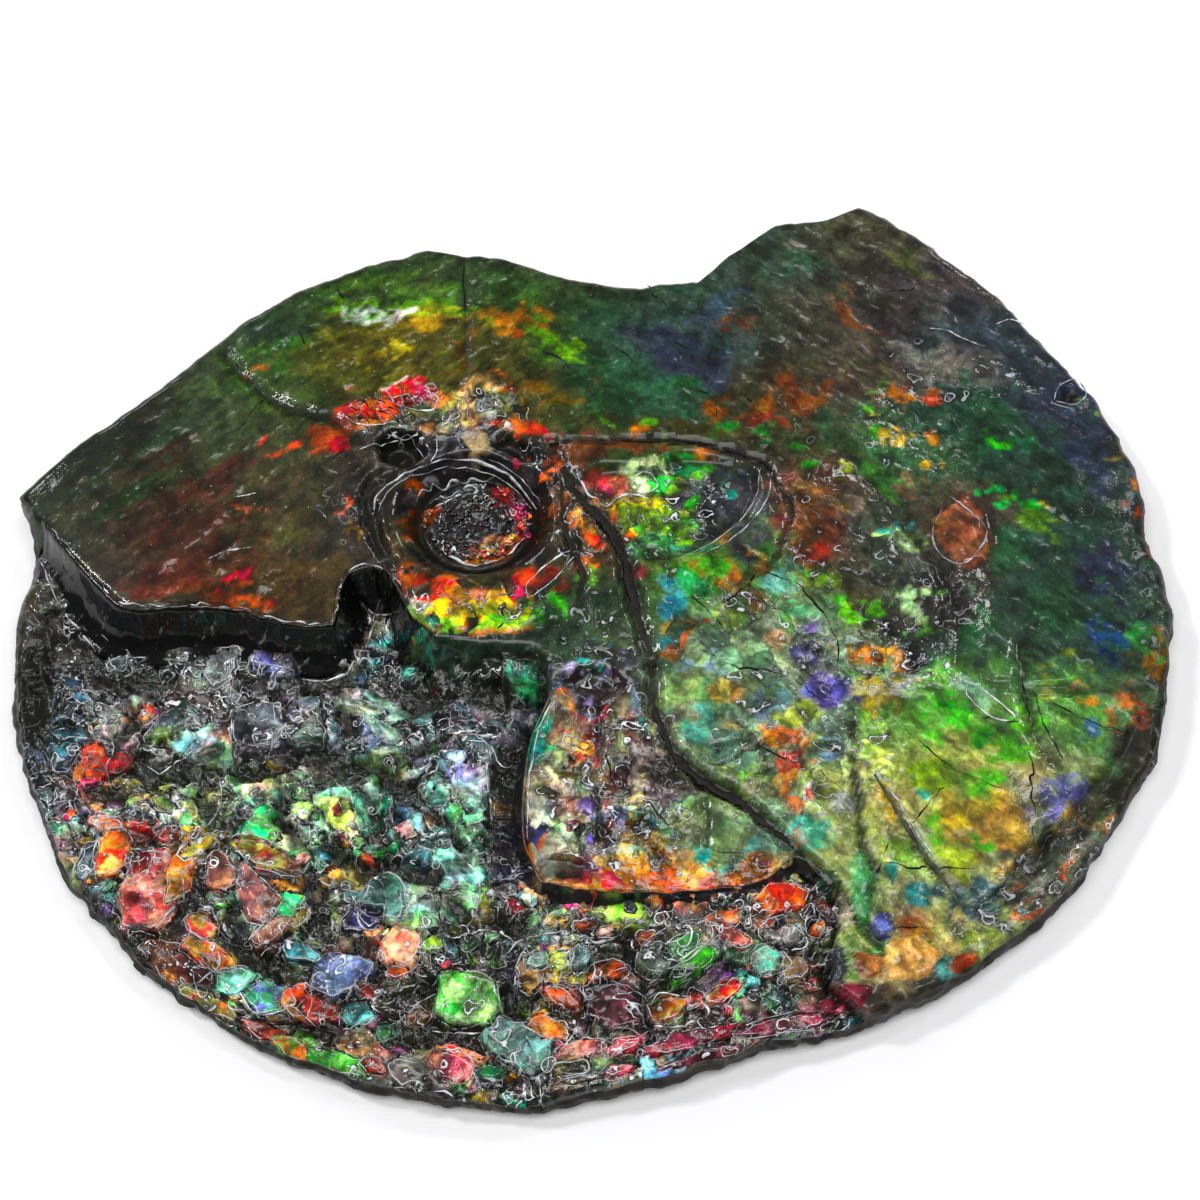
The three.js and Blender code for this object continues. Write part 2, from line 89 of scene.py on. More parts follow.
# Cracks through the shell layer: width, depth and the points that they pass, then the width and
# shade of the dark filling where there is one.
CRACKS = [
    (1.7, 1.5, [(-4.8, 17.6), (-3.3, 14.6), (-1.3, 11), (1.5, 7.5), (3.1, 3.5), (4.4, -3),
                (5.6, -8)], 1.0, "1a1715"),
    (1.5, 1.5, [(5.6, -8), (6, -12.6), (7.6, -17), (10.8, -20.4), (15, -22.8), (18.4, -26),
                (21.8, -29.4)], 0.8, "1a1715"),
    (1.2, 1.0, [(20, -27.6), (22.4, -29.8), (24.4, -32.6), (28, -36.4)]),
    (1.3, 0.9, [(-3.6, 12.8), (-2.9, 7), (-1.4, 2.5), (-1.3, -2)], 0.6, "221d18"),
    (0.9, 0.9, [(25.4, -11.8), (25.8, -16), (25.6, -21), (26.2, -25.2), (27.2, -29.6)]),
    (1.0, 0.6, [(27.4, -18.6), (29.6, -22.4), (32.4, -26.8), (36.4, -32.8)], 0.5, "56604f"),
    (1.2, 0.6, [(37, -8.4), (44, -9.2), (50, -8.6), (57, -8.2)]),
    (1.0, 0.7, [(43, -4), (43.2, -9), (44.4, -15.6), (46.4, -17.4)]),
    (2.6, 0.9, [(55.4, -13), (51.6, -18.6), (47.4, -23.6), (42.6, -27.6), (38, -33.2)]),
    (1.3, 0.8, [(-39.5, 29.6), (-35.6, 24.6), (-31.5, 21.5), (-27.6, 20.6), (-24, 17.6)]),
    (1.0, 0.3, [(-14.2, 42), (-14.1, 35), (-13.8, 26.4), (-15.5, 20.6)]),
    (1.0, 0.2, [(-14.5, 24.5), (-8, 22.9), (-1, 23.2), (4, 27.4), (5, 33.4), (5.4, 38.2)]),
    (0.9, 0.9, [(-4.8, 17.6), (4, 18.3), (11, 18.4), (18, 15.6), (20.4, 9.6), (17.6, 3)], 0.3, "1c1814"),
    (1.4, 1.8, [(-20.8, 14), (-23.2, 12.4), (-23.9, 10.4), (-23, 8), (-21.9, 5.4), (-20.5, 2.6)]),
    (1.0, 0.6, [(26.6, 16.4), (31, 9.8), (35, 4.6), (37.2, -1), (36.6, -7)]),
    (0.7, 0.8, [(0.4, -12), (0.6, -15.4), (0.5, -19)]),
    (0.7, 1.0, [(0.1, -19.8), (0.4, -24.4), (1.7, -29)]),
    (0.6, 0.8, [(-2, -23.4), (-1.6, -26.6), (-1.1, -29)]),
    (0.6, 0.8, [(3.8, -24.8), (6, -27.2), (8.6, -30.4)]),
    (0.4, 0.6, [(4.8, -27.4), (6.7, -30), (7, -31.4)]),
    (2.0, 0.9, [(-4.6, -29.6), (-1.4, -29.4), (-0.4, -30.4)]),
    (0.9, 0.8, [(-5, -18.4), (-2.8, -19.6), (0.4, -18.8)]),
    (2.4, 0.8, [(4.4, -18), (7, -19.4), (9.6, -20.4)]),
    (0.5, 0.6, [(11.4, -19.4), (14, -17.8), (17.4, -15.4)]),
    (0.5, 0.6, [(16.6, -16.6), (17.2, -20), (18.8, -23.8)]),
    (0.7, 0.8, [(20.2, -15.6), (20.4, -18), (22.2, -21.4)]),
    (0.5, 0.6, [(12, -13), (14.6, -14.6), (16, -16.6)]),
    (0.5, 0.6, [(10.8, -21.6), (11.2, -24.6), (11, -28)]),
    # crevices in the crushed bed
    (3.0, 1.6, [(-52.4, -16.8), (-46.5, -16), (-44.5, -17), (-41, -17), (-38, -15.8),
                       (-34.4, -16.4)]),
    (2.6, 1.4, [(-34.6, -16.8), (-29.4, -15.2), (-26, -15.8), (-23.4, -17.4)]),
    (1.6, 1.2, [(-35.6, -17.6), (-32, -17.2), (-30.6, -17.8)]),
    (1.8, 1.2, [(-51.4, -19.4), (-47.5, -19.6), (-45.4, -18.8)]),
    (3.4, 1.0, [(-57.8, 1), (-57.2, -7), (-56, -16)]),
    (2.8, 1.0, [(-54.6, -3.4), (-48, -6.8), (-42.4, -7.2)]),
    (2.4, 1.3, [(-31.2, -8.2), (-26.5, -7.4), (-22.6, -6.4)]),
    (1.1, 1.2, [(-33.6, -8), (-30.6, -11)]),
    (1.8, 1.3, [(-47.4, -24), (-43.5, -25.3), (-41, -25.7), (-38, -25.2)]),
    (1.6, 1.3, [(-45.6, -36), (-41.5, -34.6), (-39.8, -33), (-39.6, -29)]),
    (2.2, 1.5, [(-37.4, -34.4), (-34, -36.6), (-31.5, -37.6), (-28, -39.4)]),
    (2.0, 1.5, [(-30, -43), (-26, -44), (-22, -45)]),
    (1.9, 1.2, [(-33, -27.6), (-28.5, -29), (-27, -30.6), (-26.8, -35)]),
    (1.9, 1.0, [(-52.8, -25), (-50.8, -30), (-46.2, -35), (-42, -39), (-37.6, -41.6)]),
    (2.3, 1.5, [(-27, -18), (-23, -16.6), (-21, -17.8), (-18.6, -19.4), (-15.8, -20.6)]),
    (1.2, 1.0, [(-24, -17.8), (-22.4, -21), (-21, -25.4)]),
    (1.7, 1.0, [(-20, -16.4), (-15.4, -14)]),
    (4.2, 1.0, [(-21.4, -9.2), (-13.6, -9.6)]),
    (3.0, 1.0, [(-14.8, -8.4), (-6.2, -9.6)]),
    (3.4, 1.5, [(-5.6, -11), (-7.6, -15), (-8.8, -19), (-9, -27)]),
    (1.7, 1.3, [(-20.4, -27.2), (-16.6, -28.8), (-14.6, -27.4), (-11, -27)]),
    (1.7, 1.2, [(-24.4, -29), (-20.6, -27.6), (-17.4, -28.2)]),
    (1.8, 1.2, [(-26.6, -24.6), (-23.4, -28)]),
    (2.6, 1.4, [(-10.8, -33.2), (-5, -34.2)]),
    (2.2, 1.5, [(-25.4, -34.8), (-21.4, -36.4), (-20.4, -39.6)]),
    (1.9, 1.4, [(-17.2, -38.4), (-15, -43)]),
    (2.5, 1.6, [(-21.4, -44.2), (-15, -45), (-11, -45.4), (-8, -44.4)]),
    (3.2, 1.2, [(-8.8, -37), (-7, -41), (-9, -44.6)]),
    (1.5, 1.2, [(-6.4, -39.2), (-3.6, -42.4), (-0.6, -42.8), (3, -44)]),
    (2.0, 1.5, [(3.6, -34.6), (5.6, -39.4), (9.6, -39.6), (13.4, -36.8)]),
    (2.0, 1.0, [(-6.4, -33.4), (0, -33.2), (3, -34), (6.4, -34.8)]),
    (2.0, 1.2, [(-0.4, -36.6), (3.4, -36.2), (5.4, -38)]),
    (1.4, 1.2, [(-41.5, -19), (-38.6, -21), (-37.6, -24.6)]),
    (1.3, 1.2, [(-30.6, -19), (-31.4, -22.4), (-28.4, -25.8)]),
    (1.3, 1.2, [(-48, -8.6), (-46.4, -11.6), (-48.6, -14.6)]),
    (1.2, 1.1, [(-36.6, -11.6), (-33.4, -14.6)]),
    (1.3, 1.1, [(-26.6, -9.6), (-24.4, -12.4), (-25.6, -14.8)]),
    (1.3, 1.2, [(-16.4, -21.6), (-13.6, -23.4), (-13, -26.4)]),
    (1.4, 1.2, [(-34.4, -30), (-35.4, -33), (-33.6, -35.6)]),
    (1.5, 1.2, [(-16.6, -31), (-13.2, -32.4), (-11.4, -36)]),
]

# Hollows in the shell layer: depth, then the outline of the mouth.
HOLLOWS = [
    (1.1, [(-1.8, 13.6), (0.4, 15.2), (5.2, 15.6), (9, 17.3), (13.4, 17.2), (16.8, 15.6), (17.2, 12.4),
           (15.8, 9.2), (12.4, 5.8), (8, 3.4), (5, 3.2), (3.4, 5), (0.8, 9.6)]),
    (2.3, [(-22.4, 15.4), (-22.8, 17.8), (-20.6, 19.2), (-18.4, 18.4), (-17.4, 16.2), (-19.6, 14.4)]),
    (1.3, [(-11.4, 17.6), (-9, 18.9), (-7, 17.8), (-6.2, 15.2), (-7.8, 15.4), (-10, 16.6)]),
    (0.9, [(-4.4, -9.2), (-2.6, -8.6), (-0.6, -7.8), (1.6, -8.2), (3.6, -10.2), (2, -11.4), (0.6, -12.9),
           (-3.2, -11)]),
    (0.9, [(49, 25.4), (49.8, 27.6), (52, 28.6), (52.8, 26.8), (51, 25)]),
    (1.2, [(43.6, -24.8), (44.4, -22.8), (46, -23.8), (44.8, -26.4), (43.2, -27.2)]),
]

COIL_CENTRE = (-12.3, 9.3)
COIL_STRETCH = 0.93
COIL_RADII = (0, 4.3, 4.9, 5.3, 5.9, 6.5, 7.2, 8.2, 9)
COIL_LIFTS = (-2.0, -2.0, -2.3, -2.9, -2.9, -2.1, -0.9, 0.15, 0)
SPIRAL_START = 1.1
SPIRAL_STEP = 1.75
SPIRAL_TURNS = 2.3

# Hairline cracks: paths only.
HAIRLINES = [
    [(-39.5, 29.5), (-37, 26.8), (-35.5, 24.5), (-34, 23), (-31.5, 21.5), (-28, 20.8), (-26, 18.5)],
    [(-35, 23.5), (-36.5, 20.8), (-37.5, 18.5)], [(-31.7, 32.3), (-31, 30.5), (-30, 28.3)],
    [(-28.2, 38), (-27.2, 36.5), (-26.4, 34.8)],
    [(-14.2, 42), (-14.2, 39.5), (-14, 35), (-13.8, 30), (-13.8, 26)], [(-7, 30), (-4, 28), (-0.5, 25)],
    [(5.5, 38.5), (6.5, 37), (8.2, 34.6)], [(2, 30), (3.5, 28.8), (3.7, 27)], [(8, 31), (12, 28)],
    [(10.3, 25), (12.2, 23.7), (12.8, 21.5)], [(15.5, 24.7), (17.8, 21.3)],
    [(31.5, 38.7), (34, 39), (37, 40.5)], [(43, -4), (43.2, -9), (44.4, -15.6), (46.4, -17.4)],
    [(44, -9), (45, -13), (47, -17), (50, -21)], [(31, -14), (35, -17.8), (40, -20), (43.5, -21.5)],
    [(27, -30), (29.3, -25)], [(31.2, -23.8), (35.5, -19)], [(28.5, -28), (33, -28.2), (40, -28)],
    [(43.4, -16), (43.2, -25)], [(29, -34.5), (33, -34.3)], [(38, -12.5), (43, -13)],
    [(9, 0.5), (12, -2.5), (14, -4.5)], [(12, -2), (15, 0.8), (17, 3)],
    [(-22, -1.5), (-21, -3.5), (-18, -5)], [(17, 3), (21, 1), (24, -3), (24.5, -8)],
    [(10, -6), (14, -8), (19, -8.6), (24, -12)], [(14, -13), (17, -17), (22, -19), (25.4, -22)],
    [(-2, -14), (1, -17), (2, -22), (1.4, -27), (2, -30)], [(7, -17), (5, -22), (9, -26), (16, -28.6)],
    [(44, -9.2), (49, -12), (55, -13.4)], [(-26.6, 21.3), (-25, 20.4), (-23.2, 19.8)],
    [(-26, 22.2), (-24.2, 21), (-22.4, 20.4)], [(-25, 22.9), (-23.4, 21.8), (-21.6, 21)],
    [(-24, 23.4), (-22.4, 22.6), (-20.8, 21.6)], [(-12.4, -2.4), (-11.8, -3.6), (-12.4, -4.6)],
    [(-9.6, -2.2), (-9.2, -3.4), (-9.8, -4.4)],
]

# ---- Colours in plan: x, y, half length, half width, turn in degrees, shade ----------

WASHES = [
    (-28, -16, 36, 16, -8, "707276"), (-26, -24, 22, 8, -4, "6e9078"), (-30, -20.5, 12, 4, -6, "86a278"),
    (-24, -38, 36, 9, -12, "5e5e4a"), (4, -41, 26, 6, 8, "5c4a3e"), (-12, -28, 9, 9, 0, "5e7c6c"),
    (-10, -14, 9, 6, 0, "707890"), (-56, -8, 5, 16, 4, "141b24"), (-42, -16.8, 9, 2, 4, "34341a"),
    (-43, -19, 9, 2.2, 0, "8a8a44"), (-21, -24, 10, 5, -4, "5c9478"), (-34, -22, 7, 3, 0, "94a078"),
    (-30, 14, 34, 26, 14, "2b2a1b"), (-54, 14, 8, 8, 0, "15180f"), (-49, 18, 9, 6, 40, "161d12"),
    (-51, 9, 7, 5, 0, "1d2a18"), (-44, 7, 8, 7, 0, "33261a"), (-40, 12, 9, 8, 40, "332418"),
    (-34, 12, 7, 9, 0, "37301c"), (-35, 2, 9, 5, 0, "3a2c1a"), (-29, 0, 5, 5, 0, "3d3018"),
    (-39, 23.5, 6, 5, 40, "2f3c22"), (-33, 20, 7, 5, 40, "33361c"), (-39, 30, 6, 3, 42, "1f2a26"),
    (-30, 30, 12, 9, 25, "31461c"), (-33, 35, 7, 3, 40, "1f2f22"), (-22, 39, 14, 4, 8, "2c3f1e"),
    (-20, 29, 12, 5, 6, "4a4718"), (-9, 27, 9, 5, -14, "3c3d18"), (-6, 37, 12, 4, -12, "2a3c22"),
    (-3, 32, 9, 5, -30, "33481c"), (-4, 22, 8, 5, -10, "42401c"), (5, 31, 9, 8, -40, "26402c"),
    (6, 23, 9, 5, 0, "22482a"), (14, 31, 10, 8, 20, "2b3a3c"), (12, 37, 8, 4, 20, "26382e"),
    (20, 40, 10, 9, 30, "2c3d30"), (30, 44, 9, 8, -40, "3a392c"), (26, 33, 9, 8, 0, "353428"),
    (37, 37, 9, 8, -40, "35302e"), (20, 24, 9, 6, 0, "33301e"), (30, 25, 10, 6, -10, "42392c"),
    (42, 28, 9, 8, -30, "2c3336"), (48, 22, 9, 12, 0, "222a34"), (40, 20, 9, 7, 0, "1f3a2a"),
    (50, 8, 9, 12, 0, "1f3328"), (42, 2, 12, 11, 0, "20382a"), (30, 16, 9, 6, -20, "2c4a2a"),
    (24, 9, 6, 8, 20, "4c3826"), (31, 6, 6, 8, 0, "343a2e"), (38, 9, 6, 6, 0, "3a3026"),
    (35, -1, 5, 5, 0, "231f1e"), (50, -3, 9, 5, 0, "22382c"), (40, -5, 7, 4, 0, "25382a"),
    (14, 1, 9, 7, 0, "4a6a30"), (18, -8, 11, 7, 0, "566a50"), (12, -14, 8, 7, 0, "577048"),
    (22, -14, 8, 7, 0, "506050"), (20, -22, 8, 6, 0, "64724c"), (31, -14, 6, 6, 0, "4c6434"),
    (12, -24, 9, 4, -10, "5c7a58"), (28, -24, 6, 9, 0, "869254"), (38, -16, 10, 8, -10, "548c3c"),
    (48, -14, 9, 7, 0, "507844"), (36, -22, 10, 7, 0, "949650"), (44, -22, 7, 6, 0, "7e7e4c"),
    (35, -30, 8, 6, -30, "88925a"), (46, -27, 6, 5, 40, "545848"), (26, -33, 4, 6, 0, "8c965a"),
    (30, -36, 5, 3, 20, "a8945c"), (-12.3, 9.3, 10, 9.3, 0, "241e1a"), (-22, 10, 6, 8, 0, "2a2620"),
    (-14, -7, 10, 4, 0, "1c2c20"), (-1, -4, 5, 5, 0, "243624"), (5, 10, 9, 6, 30, "38521e"),
    (13, 11, 4.5, 5.5, 30, "303436"), (-1, 8, 3, 6, 20, "3c3020"), (-4, 15, 6, 2.5, -20, "3a2a20"),
    (8, 19.6, 10, 2, 0, "3a3a1c"), (1, -20, 9, 10, 0, "76705a"), (-3, -22, 5, 8, 0, "8a8464"),
    (-9, -26, 2.4, 8, 0, "2a2a34"), (10, -26, 8, 4, 0, "5a6a48"), (5, -29.5, 12, 2.2, 4, "b0602c"),
    (0, -10.2, 4.5, 2.4, 0, "1c0f10"), (56, -17, 3, 9, -20, "2c2a20"),
]

# Bands round the coil: radius, half width, from and to in degrees, shade.
BANDS = [
    (9.4, 1.3, -200, 200, "2c2618"), (8.9, 1.2, 195, 335, "3c301a"), (7.6, 0.9, -200, 200, "121013"),
    (6.7, 0.5, 20, 200, "2c2a2e"), (6.4, 0.8, 160, 250, "34341e"), (5.3, 0.5, -200, 200, "0d0b0d"),
    (3.0, 1.9, -200, 200, "2a272b"), (4.7, 0.75, -25, 58, "b4202f"), (3.6, 0.4, 20, 90, "5a1c24"),
    (4.6, 0.7, 250, 322, "d88a50"), (4.4, 0.4, 268, 300, "e0b088"), (4.6, 0.5, 150, 190, "8a3418"),
    (11.0, 0.75, 243, 292, "d8743c"), (12.4, 0.9, 244, 294, "d0981c"), (13.2, 0.6, 250, 290, "7a6010"),
    (14.3, 0.8, 243, 294, "7ac010"), (15.3, 0.3, 240, 296, "c8701c"), (17.0, 1.2, 244, 290, "1c2c20"),
]

PATCHES = [
    # dark slab at the left
    (-43, 3, 7, 1.8, 20, "45241a"), (-40.5, 8, 5, 1.2, 34, "3c2318"), (-40, 13.5, 4, 1, 40, "4a2a20"),
    (-42, 1, 4, 0.8, 12, "5a2c1e"), (-47, 0.6, 3, 0.8, -10, "4a2018"), (-36, 5, 4, 0.8, 30, "4a2c1a"),
    (-35, -0.8, 2, 0.7, 0, "a33a14"), (-38, 0, 2.4, 0.6, 10, "6a3018"), (-36, 2.3, 1.1, 0.8, 30, "e8304a"),
    (-35.4, 1.5, 0.7, 0.4, 0, "d06018"), (-33.7, 16.3, 1.0, 0.6, 20, "d84840"),
    (-36.6, 9.8, 1.0, 0.5, 0, "c86050"), (-28, 17.5, 2.4, 1.2, 30, "a0401c"),
    (-26.5, 17, 1.2, 0.8, 0, "a82838"), (-26, 8.8, 0.7, 0.5, 0, "c03020"),
    (-24.5, 7, 1, 0.5, -30, "b08420"), (-29, 12.5, 3, 1, 60, "2f2e1c"), (-45, 13, 5, 1, 38, "262c18"),
    (-49, 11, 4, 1, 38, "1c3016"), (-31, 8, 4, 1, 60, "3f3a1c"), (-38, 18, 5, 1.4, 40, "2f3a20"),
    (-44, 20, 5, 1.6, 42, "253020"),
    # arch over the coil
    (-34, 29, 4, 2.4, 45, "2c4f18"), (-27.5, 30, 2, 3, 20, "4f5018"), (-36, 26, 3, 2, 40, "355020"),
    (-21.5, 35.7, 7.5, 0.8, 4, "4f8a10"), (-17, 34.8, 4, 0.8, -2, "8aa010"),
    (-17, 33.2, 4.4, 0.9, 0, "9a7a10"), (-23, 32.4, 4, 0.5, 6, "5e5e18"),
    (-11.6, 33.6, 2.2, 0.9, -10, "80801a"), (-9, 33.4, 2, 0.8, -14, "9a6418"),
    (-7, 32.6, 2, 0.7, -24, "8a5418"), (-8.4, 31.5, 1.6, 0.4, -24, "96400f"),
    (-13.2, 34.4, 1, 0.6, 0, "4c8a18"), (-5.6, 30.6, 2.6, 1, -34, "528218"),
    (-2.6, 28.6, 2.6, 0.9, -26, "5e8c1c"), (-0.6, 27.6, 1.4, 0.5, -10, "6a9020"),
    (-21.4, 29.3, 2.2, 0.6, 6, "94801e"), (-26, 28.4, 3.6, 0.25, 4, "7a6424"),
    (-35.5, 27, 0.9, 0.7, 0, "8a5824"), (-24, 34.2, 2.4, 1.2, -4, "b9c6b4"),
    (-20.5, 34.8, 1.6, 0.35, 4, "c4ccc0"), (-25, 27.6, 0.3, 1.2, 0, "8a7a20"),
    (-14.6, 29, 0.4, 3.2, 0, "5a3c14"), (-5, 24, 3, 0.9, -14, "5a4416"), (-24, 39, 5, 1, 14, "35541c"),
    (-18, 38, 5, 1, 4, "3a5a20"), (-10, 38.6, 4, 1, -16, "2f4c24"),
    # red and cream crust above the coil
    (-24.2, 21, 3.5, 1.9, 14, "c03a1c"), (-18.5, 23.4, 3.2, 1.4, -4, "c0303c"),
    (-14, 21.6, 2, 3.2, -10, "b08a5a"), (-11.4, 21.8, 1.1, 1.5, 0, "8a8a86"),
    (-8, 19.6, 3.2, 0.7, -14, "d8401c"), (-4.6, 18.8, 1.2, 0.6, -20, "c8303c"),
    (-13.2, 18.2, 2, 1.8, 0, "a08a68"), (-17, 19.4, 1.4, 0.8, 20, "5a3a24"),
    (-11, 24.6, 3, 0.3, -14, "a05a24"), (-1.5, 16.8, 3, 1, -10, "5a3424"), (2, 17.6, 4, 0.7, 0, "6a3a24"),
    (-20, 25, 2, 0.3, 0, "c8b0a0"),
    # upper right
    (9, 29, 5, 2.4, -34, "2c3340"), (14, 35, 4, 2, 30, "2c3a42"), (16.3, 33.5, 1.6, 1.4, 0, "5c3a24"),
    (12.5, 22.5, 1.2, 1.4, 20, "7a3f1c"), (17.3, 22.4, 1.4, 2, -20, "6a3a20"),
    (22, 24, 2.2, 2.4, 30, "6a3a20"), (13.5, 20, 1.6, 0.8, 30, "1f6a2a"), (18, 20, 1.6, 0.8, 10, "1f5a2a"),
    (21.5, 17.8, 1.4, 0.8, 0, "2a8a30"), (23, 42.5, 4, 1.4, -40, "2f4a38"), (34, 43, 3, 1.6, -40, "43482a"),
    (27.5, 35, 3.6, 0.8, -50, "6a4426"), (24, 46, 4, 1, 20, "3a3c30"), (38, 29.5, 6, 2.2, -24, "504e4a"),
    (33, 31, 3, 0.9, -24, "5e5a54"), (33.4, 25.4, 3.4, 0.9, 12, "9a5a30"), (36, 25, 1, 0.8, 0, "c84a24"),
    (30.6, 26.4, 0.9, 0.6, 0, "5a7a40"), (42, 24, 3, 2, 0, "1c3f28"), (50, 26, 3, 3, 0, "232a3c"),
    (52, 18, 2.4, 5, 0, "1f2838"), (31.7, 19.8, 1.1, 1.0, 0, "c8902c"), (30.6, 20.4, 0.6, 0.8, 0, "4c9a1c"),
    (35.7, 20, 0.6, 0.9, 0, "c88030"), (42.3, 19.4, 1.1, 0.6, -30, "2ca818"),
    (53.6, 24.2, 0.9, 0.5, 0, "5a7a48"), (45, 20, 2, 1, 0, "205030"), (0.6, 20.8, 1.4, 0.6, 0, "4a7a20"),
    (4.6, 19.6, 1.2, 0.6, 30, "c8701c"), (5.6, 20.6, 0.8, 0.6, 0, "50a820"),
    (9, 25.4, 3, 1.2, 10, "24502c"), (57.2, 12.3, 0.5, 1.0, 0, "c85024"), (58, 7.7, 0.6, 1.0, 0, "b85a2c"),
    (56, 20, 0.5, 1.4, 14, "8a7a2c"), (57, 16, 0.5, 1.0, 0, "a0602c"),
    # right
    (26.2, 15.3, 0.9, 0.7, -30, "b8c020"), (33.5, 14, 2, 1, -30, "5a4a34"),
    (29.6, 14, 3, 1.4, -30, "3a6a2c"), (39, 12.4, 0.8, 0.5, 0, "18b040"),
    (42.2, 12.2, 0.9, 0.6, 0, "18a848"), (45.5, 12, 1.0, 0.5, 0, "2cb038"),
    (47.2, 12.2, 0.6, 0.5, 0, "b0a820"), (46, 10, 2.5, 1.2, 0, "4a6a20"),
    (31.7, 8.8, 0.8, 0.6, 0, "2a8a80"), (31.5, 7, 1.8, 1.0, -34, "7a9a60"),
    (23, 10, 3.2, 3.6, 20, "5e4426"), (21.6, 5, 2.2, 1.6, 20, "7a4a20"),
    (20.6, 12.4, 1.4, 1.6, 0, "5a3c28"), (26.6, 11, 1.4, 2.6, 0, "4a4038"),
    (23.4, 2, 1.1, 0.8, 0, "6ab030"), (26.2, -1.5, 2.6, 1.3, -20, "4a9a28"),
    (31.3, 1.2, 1.2, 0.7, -40, "a8c88a"), (32.4, -1, 1.2, 0.7, -40, "4a9a30"),
    (53.2, -4, 0.9, 2, 0, "1f3a5a"), (48.5, -4.8, 1, 0.5, 0, "5a7020"), (57, -4, 1, 2.4, -6, "7a5a24"),
    (55.5, -3, 1.4, 2, 0, "2c6a2c"), (53, 5, 3, 3, 0, "1c2230"), (42, 7, 4, 2, 0, "1f4228"),
    (47, 0, 4, 2, 0, "1d3c26"), (39, -2, 2, 2, 0, "1f4a2a"), (38.4, 2.2, 1.2, 0.5, -50, "5a6a5a"),
    # patchwork right of the long crack
    (7.9, -1.5, 1.2, 1.7, 0, "2a7c80"), (10.4, 0.6, 2.4, 1.4, 0, "2c7a28"),
    (14, 1.4, 2.4, 1.2, 10, "8a5a24"), (16.4, -0.8, 1.4, 1.2, 0, "a87a48"),
    (8.5, -4, 1.6, 0.9, 0, "a0602c"), (8, -7, 1.8, 1.6, 0, "5a7a68"), (11.5, -7.3, 1.8, 1.2, 0, "6a7a90"),
    (15, -6.5, 2, 1.4, 0, "6a8a60"), (23, -10, 2.7, 1.6, 6, "4a3f7a"), (28.5, -6, 2, 1.1, -10, "b0703a"),
    (27.6, -10.2, 2.2, 1.4, 0, "8a7a34"), (28, -13.6, 1.2, 1.6, 0, "7a9a4a"),
    (38, -10, 2.6, 1.2, -30, "6a8a70"), (35, -11, 1, 0.8, 0, "14a020"), (18, -15, 2, 1.4, 0, "b8603a"),
    (19.4, -20.4, 1.4, 2.4, 0, "c05a34"), (21, -24.6, 1.8, 1.8, 0, "4a8a78"),
    (13.4, -2.6, 1.6, 1.2, 0, "7a8a3c"), (19, 1.4, 1.8, 1.2, 0, "5a8a70"),
    (20, -2.6, 1.6, 1.4, 0, "4a8a50"), (12, 4, 3, 1, 10, "2f5a28"), (16, 4.4, 2, 0.8, 0, "8a6a28"),
    (18, -4.6, 1.4, 1.0, 0, "8a7a50"), (21, -6.4, 1.8, 1, 0, "58507a"), (13, -10.6, 1.6, 1.2, 0, "a07a44"),
    (17.4, -10.8, 1.8, 1.2, 0, "58707a"), (9.6, -11, 1.4, 1.6, 0, "7a9a5a"),
    (10.6, -15, 1.6, 1.6, 0, "4a8a6a"), (13.8, -15.4, 1.4, 1.8, 0, "a0824a"),
    (15, -19.6, 1.8, 1.4, 0, "6a8a3c"), (23, -16.6, 1.4, 1.6, 0, "6a8a9a"),
    (22.6, -20.6, 1.2, 1.4, 0, "8a9a4a"), (30.6, -9, 1.4, 1, 0, "7a7a80"),
    (24.6, -5.4, 1.6, 0.8, 0, "9a9a8a"), (22, 3, 1.4, 0.6, 0, "3a7a3a"), (27.4, 1, 1.4, 0.8, 0, "46583c"),
    # lower right plate
    (40.5, -15.6, 3.2, 1.9, -20, "3d9a10"), (35, -13.4, 2.4, 1.4, 10, "4aa83a"),
    (49, -12.5, 3, 3, 0, "5a8a40"), (49.8, -9.9, 1, 0.6, 0, "c07830"), (49.9, -13, 0.8, 0.9, 0, "3a6a8a"),
    (53.6, -9.8, 1.2, 0.7, -30, "b06a40"), (55.2, -11.8, 0.9, 1.2, 0, "b04a30"),
    (33, -19, 2.6, 1.6, 0, "7a9a2a"), (37, -23.6, 4, 3, 0, "a08a34"), (41, -24.6, 2.4, 2, 0, "a0783c"),
    (33.2, -24.5, 0.9, 1.6, 0, "5aa81c"), (32, -21, 0.9, 0.7, 0, "2a8a80"),
    (38.3, -25.8, 1.2, 0.7, 0, "3a9a28"), (46.4, -19.8, 2.5, 1.7, 10, "5a5a90"),
    (47.5, -22.6, 1.4, 0.9, 0, "8a6a3c"), (42.6, -22.7, 1, 0.7, 0, "5a6a98"),
    (37, -30.5, 2.6, 2.2, 0, "2f4a4c"), (31, -34.5, 1.8, 1.1, -20, "b0743a"),
    (31.5, -31, 1.4, 1.2, 0, "2a7a70"), (42, -32, 1.8, 0.8, 40, "b0603a"),
    (46.5, -28, 1.4, 0.8, 44, "a8583a"), (51, -23, 1.6, 0.7, 50, "a0603a"),
    (35, -27, 2.6, 1.4, 20, "8a9a34"), (28.4, -21.4, 1, 2, 0, "b09a34"), (30, -27, 1.6, 2, 0, "7a9a3c"),
    (25.4, -36, 1.4, 2.6, 0, "5a8a3c"), (36, -35.2, 2, 1, 30, "7a8a3a"), (43.4, -13, 2, 1, 0, "4aa030"),
    (45.4, -9.6, 1.4, 0.8, 0, "8aa040"), (52.4, -15.6, 1.4, 1.6, 0, "4a7a50"),
    (38.6, -19.4, 2.4, 1.2, 0, "58a030"), (40.6, -28.6, 1.6, 1, 0, "8a7a44"),
    # coil
